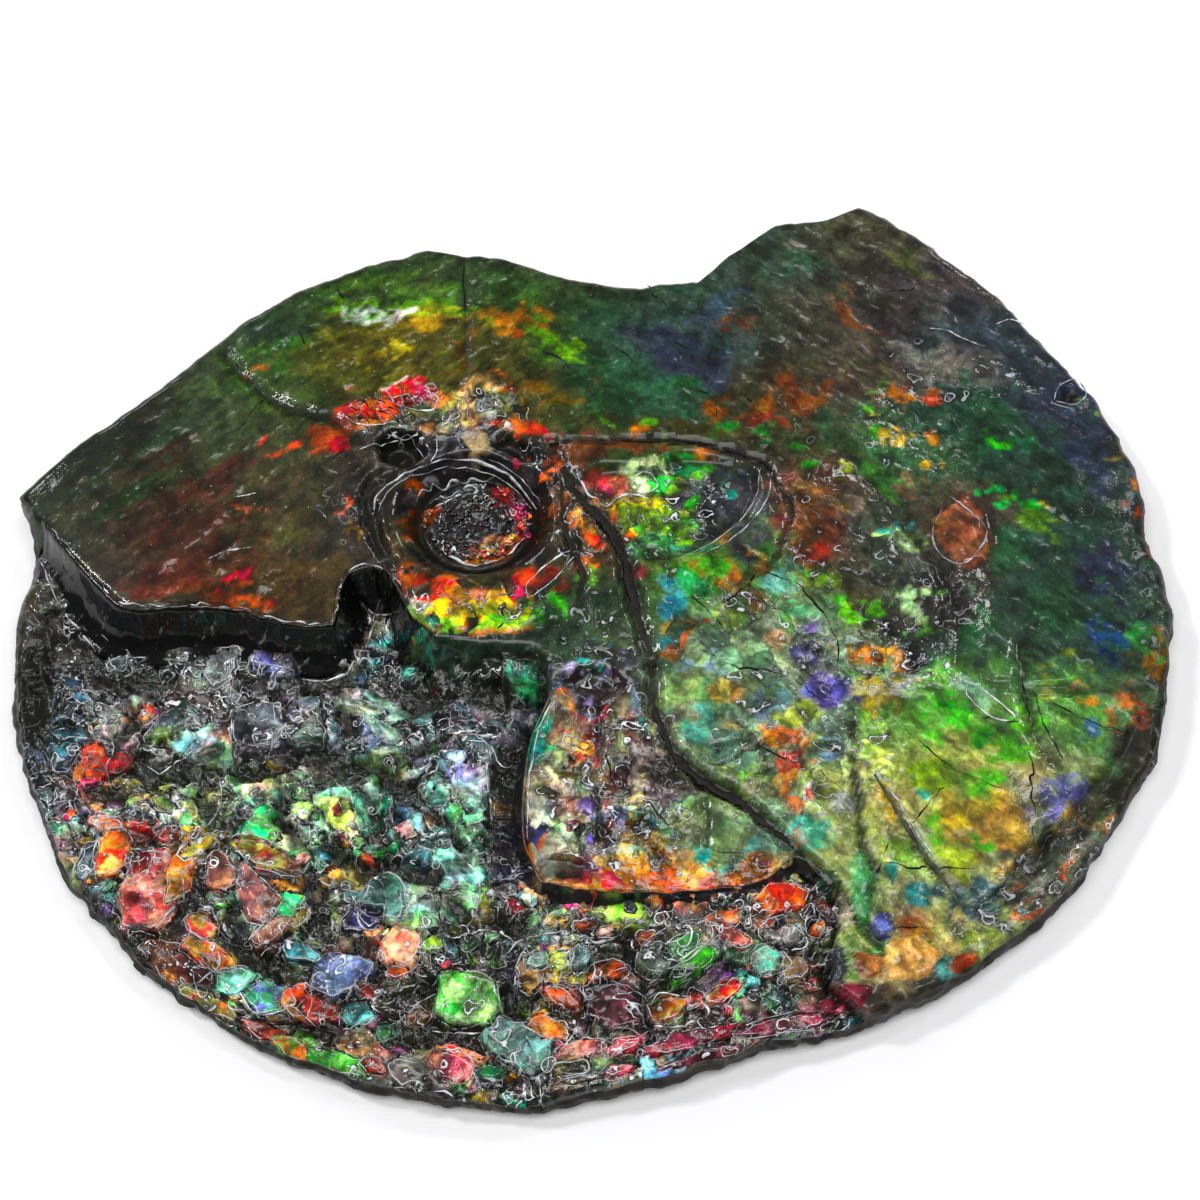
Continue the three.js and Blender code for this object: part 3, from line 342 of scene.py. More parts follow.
    (-12.3, 9.3, 3.8, 3.4, 0, "1c191b"), (-7.9, 10.6, 0.9, 2.6, 14, "a81f2c"),
    (-8.7, 12.8, 1, 0.8, -40, "9a2430"), (-9.8, 5.6, 2.2, 0.8, 24, "d87a34"),
    (-12.6, 4.8, 1.6, 0.5, 0, "b07840"), (-18.4, 10.2, 1.3, 0.6, 30, "a8441c"),
    (-19.6, 7, 1.4, 1.6, 0, "3c3a22"), (-20.2, 17, 2, 1.6, 20, "0c0b0a"), (-8.6, 17, 1.6, 1, -30, "0f0c0a"),
    (-5.2, 9, 1.1, 4.4, 10, "2a1f12"), (-16, 1.6, 3, 0.9, -6, "3a2c1e"), (-10, 1.4, 4, 0.9, 10, "33301c"),
    (-6, 15.6, 1.1, 0.9, 0, "d8541c"), (-3.6, 11.4, 0.5, 1.8, 20, "8a6a58"),
    (-2.5, 8.4, 0.5, 1.2, 20, "c8603c"),
    # leaf shaped hollow
    (0.8, 13, 1.9, 1.5, -10, "c85a50"), (2.8, 13, 1.0, 1.4, 0, "c8905a"),
    (5, 13.5, 1.4, 1.1, -20, "d8e8a0"), (7.2, 13.4, 1.2, 1.2, 0, "5ac020"),
    (4.4, 11.3, 2.8, 0.7, 4, "a8a020"), (3.6, 9.6, 2.4, 1.1, 10, "4a5a18"),
    (1.2, 9.2, 1.2, 0.9, -40, "e06a1c"), (3.5, 6.9, 1.1, 0.5, 30, "d8701c"),
    (6.2, 5.6, 3.2, 1.5, 24, "2f6a4a"), (7.4, 7.6, 0.9, 0.5, 40, "6ac020"),
    (9, 10.4, 1.1, 2.2, 0, "4a4a4c"), (9.5, 15.7, 2.8, 1.1, -10, "3a9a3a"),
    (11.5, 16.9, 1.2, 0.6, 0, "b0602c"), (14.2, 13, 0.7, 0.9, 0, "2a9a90"), (15.4, 14.6, 1, 1, 0, "2c3a40"),
    (11, 5.4, 1.4, 1.2, 40, "3a6a50"), (13, 9, 1.6, 2.4, 0, "26282a"),
    (15.6, 10.4, 1.2, 2.8, -24, "4a4a50"), (-0.5, 6.4, 0.7, 1.6, 20, "d8641c"),
    (-0.3, 2.2, 0.8, 1.6, 0, "5a9a20"), (0.6, 4.3, 0.6, 0.9, 0, "c0601c"),
    (4.2, 2.3, 1.2, 0.7, -30, "7a3a34"),
    # crescent below the coil
    (-15.4, -0.7, 2, 0.6, 0, "d8641c"), (-11.4, -0.5, 1.3, 0.6, 0, "d88a60"),
    (-14.6, -2, 2.8, 0.9, 0, "d8941c"), (-13, -2.7, 2, 0.8, 0, "8a6a10"), (-9, -2.4, 3, 1.2, 6, "8a7a18"),
    (-14.5, -4.1, 2.4, 0.8, 0, "7ac010"), (-11, -4.8, 3.6, 0.3, 2, "c8701c"),
    (-8.8, -3.8, 2.6, 0.7, 6, "8ac014"), (-8, -1.2, 2, 0.7, 10, "e0a02c"),
    (-17.7, 0.8, 0.8, 0.6, 0, "d83830"), (-19.2, 1.6, 1, 1.4, 0, "a04a1c"),
    (-7, 1.7, 1.2, 0.9, 30, "c8503c"), (-4.4, 2.2, 3, 0.6, 50, "7a3028"),
    (-3.2, -0.5, 0.8, 1.2, 0, "2c8a20"), (-5.7, -3, 0.8, 1.2, 0, "2c6a20"),
    (-17.4, -1.6, 1.2, 1.4, 0, "a8a48c"), (-18.4, -3.6, 1, 0.5, 0, "8ab010"),
    (-0.5, -5.6, 0.8, 0.6, 0, "2ab0a0"), (1.8, -5.6, 0.8, 0.4, 30, "2aa0b0"),
    (-1.6, -8, 2.2, 0.4, 10, "8a82b0"), (-2.2, -12.4, 1.2, 1, 0, "5a6a78"), (4, -12, 0.5, 1.8, 0, "8a9ab8"),
    (4.3, -14.8, 0.7, 0.9, 0, "2a9a90"), (1.6, -9.6, 1.4, 1.1, 0, "4a2a2e"),
    (3.4, -6.8, 1.6, 1.8, 40, "2a2a2c"), (-12, -9.4, 3, 1.2, 0, "243024"),
    # wedge panel
    (12.4, -25.6, 3.8, 3.4, 0, "5f7448"), (6.4, -23.4, 2.8, 2.6, 0, "4c4a40"),
    (-3, -25, 2, 4.4, 0, "6e5c48"), (-0.4, -13, 1.4, 1.2, 0, "c8503c"),
    (-5.2, -16, 1.6, 2.4, -10, "3c9468"), (-5.8, -17.6, 0.8, 1, 0, "2c9a80"),
    (-1.6, -15, 1.6, 1.8, 0, "9a8060"), (-1, -17.6, 1.6, 1.2, 0, "8a5a1c"),
    (2.8, -15.6, 1.5, 2.6, 0, "84583c"), (4.4, -15.4, 0.4, 1.6, 0, "2ca0a0"),
    (-4.9, -25.6, 1.2, 5, 3, "b4b49c"), (-4.6, -21, 1.2, 1.2, 0, "8a8a6a"), (0, -25, 1.3, 3.4, 0, "5a5690"),
    (1.9, -21, 1.5, 1.8, 0, "b88468"), (2.4, -25, 1.2, 1.8, 0, "74401e"),
    (6.8, -25.4, 1.2, 0.7, 0, "2a7a80"), (8.6, -21.6, 2, 1, 0, "55504c"),
    (2.8, -29.6, 1.4, 1.6, 0, "cc4434"), (4.8, -29.4, 1.6, 1.8, 0, "d8341c"),
    (8.8, -29.6, 2.4, 1.6, 0, "cc9858"), (12, -30.4, 3.2, 0.7, 0, "a8443c"),
    (15, -29.4, 2.4, 0.8, 16, "a05c28"), (10.8, -27.8, 0.7, 1.2, 0, "2a9088"),
    (14.6, -27.4, 2, 0.5, 20, "3a8a80"), (-6.4, -27.6, 0.4, 2, 10, "c8601c"),
    (0.2, -28.8, 0.8, 0.9, 0, "a86a50"), (17.4, -26.4, 1.6, 1, -20, "5a7a68"),
    (-8.4, -28.4, 1.4, 3, 0, "2c2a52"), (-2.6, -30, 1.6, 0.8, 0, "24201e"),
    (7, -19.4, 2.2, 1.4, -20, "2e2a28"), (19.4, -20, 1.6, 3.2, 10, "b85f44"),
    (20.8, -12.6, 1.4, 1.6, 0, "7a943c"), (19, -14.8, 1, 0.6, 0, "c07048"),
    (20.4, -25.4, 1.8, 2.4, 0, "44947a"), (24, -22, 1, 1.4, 0, "9a9a90"),
    (13.6, -16.4, 2.4, 2.4, 0, "54765a"), (15.6, -21.4, 2, 1.6, 0, "66684a"),
    # crushed bed
    (-54, -8.5, 1.6, 1.2, 0, "2c5860"), (-53.5, -13.5, 1.8, 2, 0, "3a6c80"),
    (-50.6, -11.5, 1.0, 0.6, 0, "a0982c"), (-46.8, -11, 1, 0.5, 10, "c8602c"),
    (-44.5, -10.2, 1.3, 0.6, 10, "c8602c"), (-43.2, -13, 2, 1, 20, "8aa040"),
    (-46.8, -13.8, 1.2, 0.9, 0, "a08078"), (-39, -14.7, 1.2, 0.6, 0, "b0602c"),
    (-42.8, -15.8, 2, 1.1, 0, "6a6e78"), (-44.5, -18.3, 1.8, 0.8, 0, "8a9a2c"),
    (-39.5, -17, 1.8, 0.7, 20, "8a8a2c"), (-51, -19.4, 1.2, 1, 0, "c03414"),
    (-44.5, -20.5, 1.4, 1.2, 0, "c89a70"), (-40, -20, 2.6, 1.2, 0, "6a9a6a"),
    (-39.8, -22.4, 1.8, 1.4, 0, "a8b088"), (-39.8, -24, 0.9, 0.7, 0, "d8783c"),
    (-34, -21.3, 1.6, 1.4, 0, "5aa08a"), (-35.3, -23.2, 1.5, 1.4, 0, "3a3c44"),
    (-33, -24.3, 0.8, 0.7, 20, "1fc060"), (-27, -20.5, 2, 2, 0, "4a8a68"),
    (-22, -3.5, 0.8, 0.5, 40, "2ab090"), (-22, -5.3, 0.8, 0.5, 40, "2aa0a0"),
    (-23.8, -7.2, 0.8, 0.5, 0, "2a8ab0"), (-19, -6.6, 2.4, 0.9, 10, "2a6a58"),
    (-12.5, -12, 1.8, 1.4, 0, "8a94a8"), (-11.5, -17, 1.8, 2.4, 0, "8a9ab0"),
    (-6.1, -9.6, 1, 1.2, 0, "3a9a60"), (-21, -12, 3, 1.6, 0, "4a6a6a"), (-16, -14.6, 2.4, 1.4, 0, "3c6a60"),
    (-29, -11, 3, 1.4, 0, "55585c"), (-36, -10, 3, 1.6, 0, "5a5a50"), (-32, -15, 3, 1.8, 0, "5c5c66"),
    (-56.6, 3.6, 1.2, 2, 0, "14181e"), (-50.6, -18, 2, 0.7, 0, "6a5a24"), (-46, -22, 2.4, 1, -20, "3a3c48"),
    (-15.6, -24, 2, 2, 0, "5a8a70"), (-20, -22, 3, 1.4, 0, "4a7a6a"), (-25, -26, 3, 1.6, 0, "5a7a5a"),
    (-16, -29, 3, 1.6, 0, "4a5a54"), (-37, -31.6, 2.4, 1.6, 0, "3a5a50"),
    (-49.4, -30, 1.6, 3, -30, "3a5a58"), (-47, -31.4, 1.4, 1.4, 0, "5a8a80"),
]

# Large flakes: x, y, half length, half width, turn, shade, second shade.
LARGE_FLAKES = [
    (-48.5, -23, 1.9, 0.9, -20, "c83a34", "d87a50"), (-50.2, -24.8, 1.0, 0.7, 0, "c8a02c", "a0801c"),
    (-47.5, -26.2, 2.3, 1.7, 76, "e0561c", "f0983c"), (-50, -27, 1.8, 0.9, 70, "56707c", "3a4a50"),
    (-42, -24.4, 1.1, 0.8, 30, "d8503c", "b03028"), (-43.2, -30.3, 4.4, 2.8, 74, "d05048", "e88a78"),
    (-40.6, -28.4, 3, 1.2, 80, "e0902c", "c85a24"), (-44.6, -27.2, 1.5, 0.9, 50, "a8222c", "c83a34"),
    (-38.5, -25.4, 2, 0.8, 35, "c8941c", "8a7a1c"), (-32.2, -26.6, 3.2, 1.1, -26, "8a3a18", "8a8a20"),
    (-36.6, -28.6, 1.6, 2, 0, "7a4a3c", "a0683c"), (-33.2, -31, 2.8, 1.7, -62, "a0584c", "7a4a4c"),
    (-28.8, -33.3, 1.5, 0.8, 60, "c8a03c", "8a8a34"), (-31.4, -34.6, 1.9, 1.1, 40, "8a5a4c", "a87a5c"),
    (-28.5, -36.4, 2, 1, -20, "2a8a90", "1f5a5c"), (-40.6, -37.4, 3.3, 1.8, -35, "2c140e", "4a2418"),
    (-37.2, -36.8, 2.6, 1.2, -28, "e0581c", "d8a01c"), (-38.5, -33.8, 1.7, 1.1, -40, "c8983c", "d8483c"),
    (-34.8, -39.2, 1.8, 1.3, 10, "3aa070", "7ac8b0"), (-31.5, -40.9, 2.1, 1.4, -20, "3a9a6a", "4a5aa0"),
    (-37, -41.4, 3.1, 0.8, -30, "8a8a3c", "d8602c"), (-41, -39.1, 0.9, 0.6, -50, "c8742c", "a0501c"),
    (-31.8, -44, 2.2, 0.8, -25, "d83430", "a02838"), (-28.8, -45.8, 2.2, 0.8, -25, "6a9a30", "d86a2c"),
    (-28.7, -41.2, 1.3, 1.6, 0, "e8842c", "d85a1c"), (-26.5, -41.8, 1.5, 1.8, 76, "e83a28", "f0705a"),
    (-24.3, -38.8, 2.5, 1.9, 10, "4a587c", "5a6a90"), (-22.8, -42.5, 1.6, 1.2, 0, "3a8a88", "24504c"),
    (-20.5, -31, 2.4, 2.3, 30, "4a7a70", "2c5a48"), (-22.8, -33.3, 1.8, 1.2, 20, "3a3280", "221f3c"),
    (-18.9, -36.3, 1.8, 2, 0, "d05a54", "c88a6a"), (-19, -38.6, 1.3, 0.8, 0, "d84a24", "a03a1c"),
    (-18.5, -40.3, 1.3, 0.7, 20, "6a6a2c", "8a8a4a"), (-21.7, -40.5, 1, 0.8, 0, "b83828", "8a2c24"),
    (-15.6, -36, 0.9, 0.9, 0, "9ac02c", "5a8a1c"), (-13.3, -34.6, 0.9, 0.7, 0, "9ab83c", "6a8a2c"),
    (-12.3, -41.7, 3, 2.3, -14, "4cc83a", "a8e878"), (-16.8, -43.2, 1.2, 0.9, 0, "e09a3c", "c8601c"),
    (-13.6, -48, 2, 1.4, -30, "d8484a", "e8786a"), (-13, -46.4, 2.2, 0.5, -16, "e0782c", "c8501c"),
    (-24, -47.4, 3, 1, -16, "2c9a2c", "6ac04a"), (-20.9, -47.8, 1.1, 0.7, -20, "d8501c", "a03018"),
    (-18, -48.5, 1.6, 1.1, 0, "56524e", "7a746a"), (-7.5, -46, 3, 2.1, -30, "3f5a58", "5a8a80"),
    (-10, -48.6, 1.4, 0.9, 0, "24a050", "1a6a3c"), (-6.2, -38.5, 1.3, 1.4, 0, "a87a44", "c88a3c"),
    (-5.2, -36.9, 1.4, 0.9, 0, "5a7a68", "3a5a4c"), (-3.3, -37.1, 1.0, 1.1, 0, "9aa83c", "6a7a2c"),
    (-1.6, -36.7, 1.0, 1.3, 0, "5a7a78", "3c5a5a"), (-3, -41.2, 1.8, 0.9, -35, "d8401c", "a82818"),
    (0.9, -38.2, 1.8, 1, 20, "c84a1c", "8a3014"), (2.1, -41.5, 2.5, 2, -40, "7a3a44", "4a242c"),
    (-4.2, -44.2, 2, 1.1, -20, "d8843c", "c8501c"), (-1, -46.3, 2.3, 0.9, 8, "d86050", "e08a6a"),
    (3, -46, 1.6, 0.7, 14, "b02c28", "d84a3c"), (-2.5, -48.3, 1.6, 0.6, 4, "6a6a2c", "4a4a20"),
    (-1, -49.3, 2.2, 0.4, 10, "c8a03c", "8a7a2c"), (2.3, -48.4, 1.6, 0.6, 12, "c0484c", "8a2c34"),
    (9.4, -45.6, 4.6, 0.9, 16, "8a2436", "6a1c2c"), (18.6, -43.6, 5, 0.9, 12, "8a2a3a", "5a1a28"),
    (11, -47, 4, 0.6, 14, "5a1f28", "3a1418"), (4.7, -34.5, 1, 0.8, 0, "e08a3c", "d8541c"),
    (6, -36.6, 1.7, 1.5, 0, "4a5a50", "6a8a70"), (8.4, -35.4, 2, 1, 34, "1f4a24", "2c6a2c"),
    (9.5, -37.4, 2.6, 1.1, 37, "4ab020", "2f8018"), (7, -42, 2, 1.1, 20, "8a9a3c", "c8541c"),
    (9.6, -41.2, 1, 0.9, 0, "c8341c", "e0683c"), (12.3, -40.3, 1.9, 0.8, 26, "e04a28", "c89a2c"),
    (12.4, -32.8, 1.5, 0.8, 10, "e0482c", "c86a4c"), (13.4, -34.5, 1.8, 0.8, -30, "d87058", "a84a3c"),
    (18, -31.2, 2.8, 1.5, 10, "a02c10", "d84a18"), (16.3, -33.2, 1.3, 0.7, 0, "d8541c", "8a3414"),
    (18.6, -34.8, 1.4, 0.9, 0, "8a8a80", "5a5a54"), (16.8, -37, 1.6, 1.2, 0, "3a8a70", "5a7a5a"),
    (19.3, -38.2, 1.5, 1.2, 0, "a8885a", "7a6a44"), (20.9, -32.5, 0.8, 0.8, 0, "0e0e10", "26262a"),
    (22.3, -30.0, 1.1, 1.3, 0, "24482c", "1a2c1c"), (24.2, -33, 0.9, 1.3, 0, "c8c0a0", "8a8a6a"),
    (26, -30.8, 1.0, 2.8, 0, "3f8a4a", "6aa05a"), (27.9, -34.4, 0.9, 1.3, 0, "5a5aa0", "3c3c6a"),
    (25, -36.6, 1.2, 2, 0, "7aa050", "a0b060"), (26.4, -38.2, 1.4, 1.2, 0, "d8843c", "a85a24"),
    (23.1, -38, 0.9, 1.6, 0, "2c2e34", "44464e"), (30.5, -37.5, 2.6, 1.7, 24, "c8883c", "e0a85a"),
    (33.8, -38.1, 1.1, 0.8, 30, "3a8a80", "246058"), (35.6, -37.4, 1.3, 0.5, 34, "c8541c", "8a3418"),
    (24, -41.4, 2.3, 1.2, 14, "8a2a3c", "5a1c28"), (-3.7, -32.9, 1.1, 0.6, 0, "b8a03c", "7a7a2c"),
    (-1, -33.2, 1, 0.6, 0, "c8743c", "8a4a24"), (0.9, -33.6, 1, 0.5, 0, "c89a78", "8a6a54"),
    (37.9, 8.4, 2.4, 3.6, -6, "7a4c2c", "8e4a2a"), (-33.8, -12.6, 2.2, 2.2, 0, "50545e", "6a7078"),
    (-38, -6, 2.2, 1.4, 45, "4a4c50", "6a6e74"), (-49, -5, 1.5, 1.1, 0, "2c3034", "4a5054"),
]

ACCENTS = ("c8602c", "8aa040", "1fa060", "c03414", "3a7078", "4a8aa0", "c89a70", "5a5a90",
           "d8a030", "b0503c", "5ab050", "2c9a80", "a8b088", "d84a24")

# Raised lines of pale resin, their paleness also a painted glint, that are long enough to name:
# width, then the points.
RESIN_GLINT_PATHS = [
    (0.42, [(-22.9, 9.4), (-22.3, 11.2), (-20.6, 13.2), (-18, 14.7), (-15.6, 15.8), (-12.6, 16),
            (-9.8, 15.2), (-7.6, 13.5), (-6.1, 11)]),
    (0.2, [(-22.2, 9.2), (-21.4, 11.4), (-19.6, 13.2), (-17.4, 14.4), (-15.4, 15.3), (-12.6, 15.5),
           (-10.2, 14.9), (-8, 13.2), (-6.6, 11.4)]),
    (0.16, [(-11, 16.1), (-9, 15.1), (-7, 13.4), (-5.7, 11.4)]),
    (0.34, [(-16.6, 7.8), (-15.8, 6.4), (-14.4, 5.2), (-12.4, 4.6), (-10.2, 5.1), (-8.6, 6.2), (-7.3, 8)]),
    (0.2, [(-16, 7.7), (-15.3, 6.6), (-14, 5.6), (-12.4, 5.1), (-10.4, 5.6), (-8.9, 6.6), (-7.8, 7.9)]),
    (0.36, [(-18.6, 11.6), (-18, 12.8), (-17.2, 13.1), (-16.8, 13.8), (-15.6, 13.7), (-15, 14.5),
            (-13.6, 14.4), (-13, 14.9), (-11.6, 14.7), (-10.6, 14.9)]),
    (0.34, [(-17.2, 12.1), (-16.4, 12.7), (-15.6, 12.2), (-14.4, 12.8), (-13, 13.6), (-12.3, 13.3),
            (-12.8, 12.7), (-14.4, 12.2), (-15.6, 11.7), (-16.6, 11.4)]),
    (0.2, [(-13.4, 14.4), (-13.2, 13.6), (-12, 14.2), (-11.6, 13.4), (-11.2, 14.2)]),
    (0.18, [(-12.9, 11.6), (-12.2, 12.2), (-11.8, 11.4), (-11.2, 12.2), (-10.8, 11.6), (-11.4, 11),
            (-12, 11.2)]),
    (0.16, [(-13, 10), (-12.9, 9.3), (-12.3, 9.4), (-12.4, 10)]),
    (0.16, [(-11, 9.6), (-10.6, 9.9), (-10.4, 9.3), (-10.9, 8.9)]),
    (0.22, [(-9, 10.9), (-8.6, 10), (-8.2, 10.4), (-8.9, 11)]),
    (0.24, [(-24.6, 16.3), (-22.4, 17.6), (-20.2, 18.7), (-19.2, 18.6), (-18.5, 17.6), (-17.8, 16.2)]),
    (0.22, [(-16.5, 18), (-16.4, 16.6), (-17, 15.4)]),
    (0.22, [(-15.7, 23), (-15.2, 20.8), (-16.2, 19.4), (-17, 18.4)]),
    (0.22, [(-14.6, 23.4), (-13.3, 22.8), (-13.4, 20.8), (-12.6, 20)]),
    (0.2, [(-13.7, 19.9), (-14.2, 18), (-13.6, 17)]),
    (0.2, [(-12.2, 19.6), (-12.6, 18.2), (-13.2, 17.4)]),
    (0.2, [(-22, 24), (-20.8, 22.3), (-19, 21.7), (-17, 21.8), (-16.6, 23.4), (-18, 24)]),
    (0.18, [(-21.4, 23), (-19.8, 23.7), (-18.6, 22.2), (-17.8, 23.5), (-16.2, 22.7)]),
    (0.18, [(-20.6, 24.2), (-20, 22.6), (-18.6, 23.4), (-17.4, 22.2), (-15.8, 23.6)]),
    (0.22, [(-11.6, 23.5), (-10.7, 23.1), (-9.4, 20.8), (-10.6, 20.9), (-11.1, 20.2), (-11.9, 21.6),
            (-11.6, 23.4)]),
    (0.2, [(-26.4, 21), (-25, 19.8), (-22.8, 19.6), (-21, 20.1)]),
    (0.2, [(-7.9, 17.6), (-7.2, 17), (-6.8, 17.6), (-6.6, 18.2)]),
    (0.2, [(-2.2, 14.8), (-1.5, 13.2), (-0.9, 12)]),
    (0.2, [(-3.6, 14), (-2.9, 12.2), (-2.4, 11)]),
    (0.22, [(-2.7, 9.9), (-3.2, 8.6), (-2.6, 8.1), (-1.4, 8.9), (-1.5, 9.6)]),
    (0.22, [(-23.8, 1), (-22.6, 0.2), (-21.2, 0.6), (-20, 1.5)]),
    (0.2, [(-22.8, -0.6), (-22, -1.2), (-21.8, -0.4), (-22.6, 0)]),
    (0.3, [(-56.6, 8), (-54.6, 3.4), (-52.2, 0), (-49.6, -3)]),
    (0.3, [(-57.6, 6.6), (-55.8, 2.6), (-53.8, -0.4), (-51.2, -3.4)]),
    (0.26, [(-9.6, -15.4), (-10.8, -18), (-10.4, -21), (-10, -24)]),
    (0.24, [(-6.4, -14), (-7, -18), (-7.4, -22), (-6.9, -25.4)]),
    (0.3, [(-15, -11.6), (-13.8, -13.2), (-12.4, -14.2), (-10.4, -14.6), (-9, -13.6), (-8, -11.4)]),
    (0.26, [(-12.8, -15), (-10.8, -15.6), (-10.4, -17.8), (-11.6, -19.2), (-13.4, -19.6), (-12.6, -17.6)]),
    (0.26, [(-24.4, -9.4), (-22.6, -9.9), (-20.8, -9), (-19.6, -7.6)]),
    (0.26, [(-49.2, -10), (-49.4, -12), (-48.6, -14), (-49, -16.4), (-48.4, -19)]),
    (0.24, [(-45, -16), (-43.6, -17), (-41.8, -15.8), (-40.4, -15)]),
    (0.24, [(-34.6, -15.8), (-33, -15.8), (-32.4, -13.4), (-33.6, -11.4)]),
    (0.24, [(-24, -30), (-23.2, -32), (-22.6, -34), (-20.4, -34.4)]),
    (0.26, [(-13.6, -24), (-14.2, -26), (-12.6, -27.6), (-11.4, -29.4), (-11.4, -32.6), (-12.6, -34.2)]),
    (0.24, [(-12.8, -35.4), (-11.4, -34.6), (-9.4, -34.6), (-7.4, -36)]),
    (0.28, [(-8.6, -37.4), (-7, -35.6), (-4, -35), (-1.4, -35.6), (0.4, -36.4), (2.6, -35), (4.4, -34)]),
    (0.24, [(4, -37.6), (5.6, -35.6), (7.6, -34.6), (10.4, -34), (11.4, -35.6), (9.2, -38), (5.2, -40)]),
    (0.24, [(-0.4, -36.6), (-1.6, -38.6), (-3.8, -38.4)]),
    (0.24, [(5.6, -44.4), (8, -44.2), (10.8, -43), (10.4, -42.2), (8.8, -42.6)]),
    (0.22, [(-15.6, -44.2), (-12, -44.6), (-9.4, -44.2), (-10.2, -42)]),
    (0.22, [(-45.6, -30), (-44, -28.6), (-43.6, -27), (-42, -26.6)]),
    (0.22, [(-44.8, -33.4), (-43, -34.2), (-41.2, -32), (-40.2, -30.6), (-40.6, -28)]),
    (0.22, [(-39.6, -36.6), (-37.6, -36.9), (-36.4, -36.6), (-36.4, -38), (-37.8, -39.6), (-39.4, -39.8)]),
    (0.22, [(-35.6, -28), (-34.6, -30), (-33.4, -29.6), (-32.4, -30.6), (-32.2, -33)]),
    (0.28, [(-2, 14), (-0.8, 12), (0, 11), (1, 10.3), (2, 11.2), (3, 11.8), (4, 12), (6, 11.6)]),
    (0.24, [(3.6, 12.6), (4.4, 14.4), (5.8, 14.6), (6.4, 13), (5, 12.2), (3.8, 12.8)]),
    (0.26, [(-18.5, 0), (-17.8, -1.4), (-17, -0.6), (-16.6, -2)]),
    (0.26, [(-13.4, -0.4), (-12, -0.8), (-11.5, -2), (-10.6, -0.6), (-9, -0.4), (-8.2, 0.4)]),
    (0.22, [(-6.8, -0.7), (-6.8, 1), (-4.4, 3.4), (-2.4, 5), (-2.2, 4), (-4, 1.4), (-6.4, -0.6)]),
    (0.3, [(-49.6, -4.6), (-45, -4.4), (-42, -5.2), (-39, -5.4), (-36.4, -5.2), (-34, -6), (-31, -6.8)]),
    (0.3, [(-31, -6.8), (-27.6, -7.2), (-25.2, -6.2), (-23.6, -3.6), (-22.6, -0.8), (-21.8, -0.2)]),
    (0.26, [(-41, -5.4), (-40.8, -8), (-39, -8.6), (-37.4, -6.8), (-37, -5.2)]),
    (0.24, [(-37.7, -17.5), (-37.2, -19.6), (-37.4, -21.5), (-39.5, -24.5), (-41, -23.5), (-40.8, -22)]),
    (0.24, [(-31, -20.6), (-29.6, -22.4), (-28.4, -24.4)]),
    (0.26, [(-22.6, -31.6), (-21.4, -28.8), (-19.4, -28.8), (-18.2, -31), (-18.4, -33.2), (-20.6, -33)]),
    (0.26, [(37, 12.6), (38, 11.5), (40.5, 8.5), (38, 4.7), (35.5, 5.5), (34.8, 8), (36, 11)]),
    (0.2, [(36, 34), (38, 33.8), (40, 32.7), (42, 32)]),
    (0.2, [(43.5, 35), (45, 36), (47, 35.3)]),
    (0.24, [(49, 25.5), (49.6, 27.4), (51.6, 28.6), (52.6, 27), (51.4, 25.4), (49.2, 25.4)]),
    (0.24, [(-39.5, 4.3), (-37.4, 5.2), (-35.2, 5.5)]),
    (0.18, [(-37, 11.5), (-35, 11.7)]),
    (0.2, [(-3.5, -8.3), (-1.4, -8), (0.8, -7.5)]),
    (0.26, [(-4.4, -12), (-6.6, -17), (-7.6, -22), (-7.4, -26.6), (-6, -29.6)]),
    (0.2, [(-5.6, -15), (-6.4, -20), (-6.6, -25)]),
    (0.22, [(37, -8.6), (39.4, -10), (42, -12.4), (40, -12.8), (37.4, -10.6), (37.4, -9)]),
    (0.24, [(28.2, -18.6), (30.4, -22.6), (33.4, -27.6)]),
    (0.2, [(18.6, 15.6), (17.6, 11), (14.6, 7), (10.6, 4.2)]),
    (0.2, [(17.2, 15.2), (16.4, 11.4), (13.4, 7.4), (9, 4.2)]),
    (0.2, [(-45.8, -25.8), (-43, -26), (-41.4, -26.4), (-40, -25.2), (-38.6, -24)]),
]

# Crumbs of shell in the coil: radius, spread, from and to in degrees, how many, size, shade.
CRUMBS = [
    (5.0, 0.5, -14, 64, 34, 0.5, "b4242f"), (5.0, 0.5, -8, 60, 16, 0.34, "0c0a0b"),
    (4.3, 0.35, 262, 330, 36, 0.3, "d8905c"), (4.5, 0.4, 256, 330, 20, 0.26, "a04a24"),
    (4.2, 0.5, 262, 330, 10, 0.24, "e8d0b0"), (2.6, 1.4, 40, 110, 10, 0.2, "6a6468"),
    (2.4, 1.8, 0, 360, 60, 0.4, "121012"), (5.2, 0.3, 150, 185, 10, 0.4, "983c18"),
    (4.3, 0.5, 190, 250, 12, 0.26, "4a4648"), (4.4, 0.5, 195, 250, 16, 0.34, "0c0a0c"),
]


# ---- Noise, distances and easing -------------------------------------------------------

def ease(t):
    """0 below 0 and 1 above 1, with 3t^2 - 2t^3 between."""
    t = np.clip(t, 0.0, 1.0)
    return t * t * (3.0 - 2.0 * t)


def waves(x, y, size, seed):
    """Value noise from -1 to 1: random corner values of square cells, eased between them."""
    table = np.random.default_rng(seed).random((61, 53))
    u, v = x / size + 300.0, y / size + 300.0
    i, j = np.floor(u).astype(int), np.floor(v).astype(int)
    a, b = ease(u - i), ease(v - j)
    low = table[i % 61, j % 53] * (1 - a) + table[(i + 1) % 61, j % 53] * a
    high = table[i % 61, (j + 1) % 53] * (1 - a) + table[(i + 1) % 61, (j + 1) % 53] * a
    return 2.0 * (low * (1 - b) + high * b) - 1.0


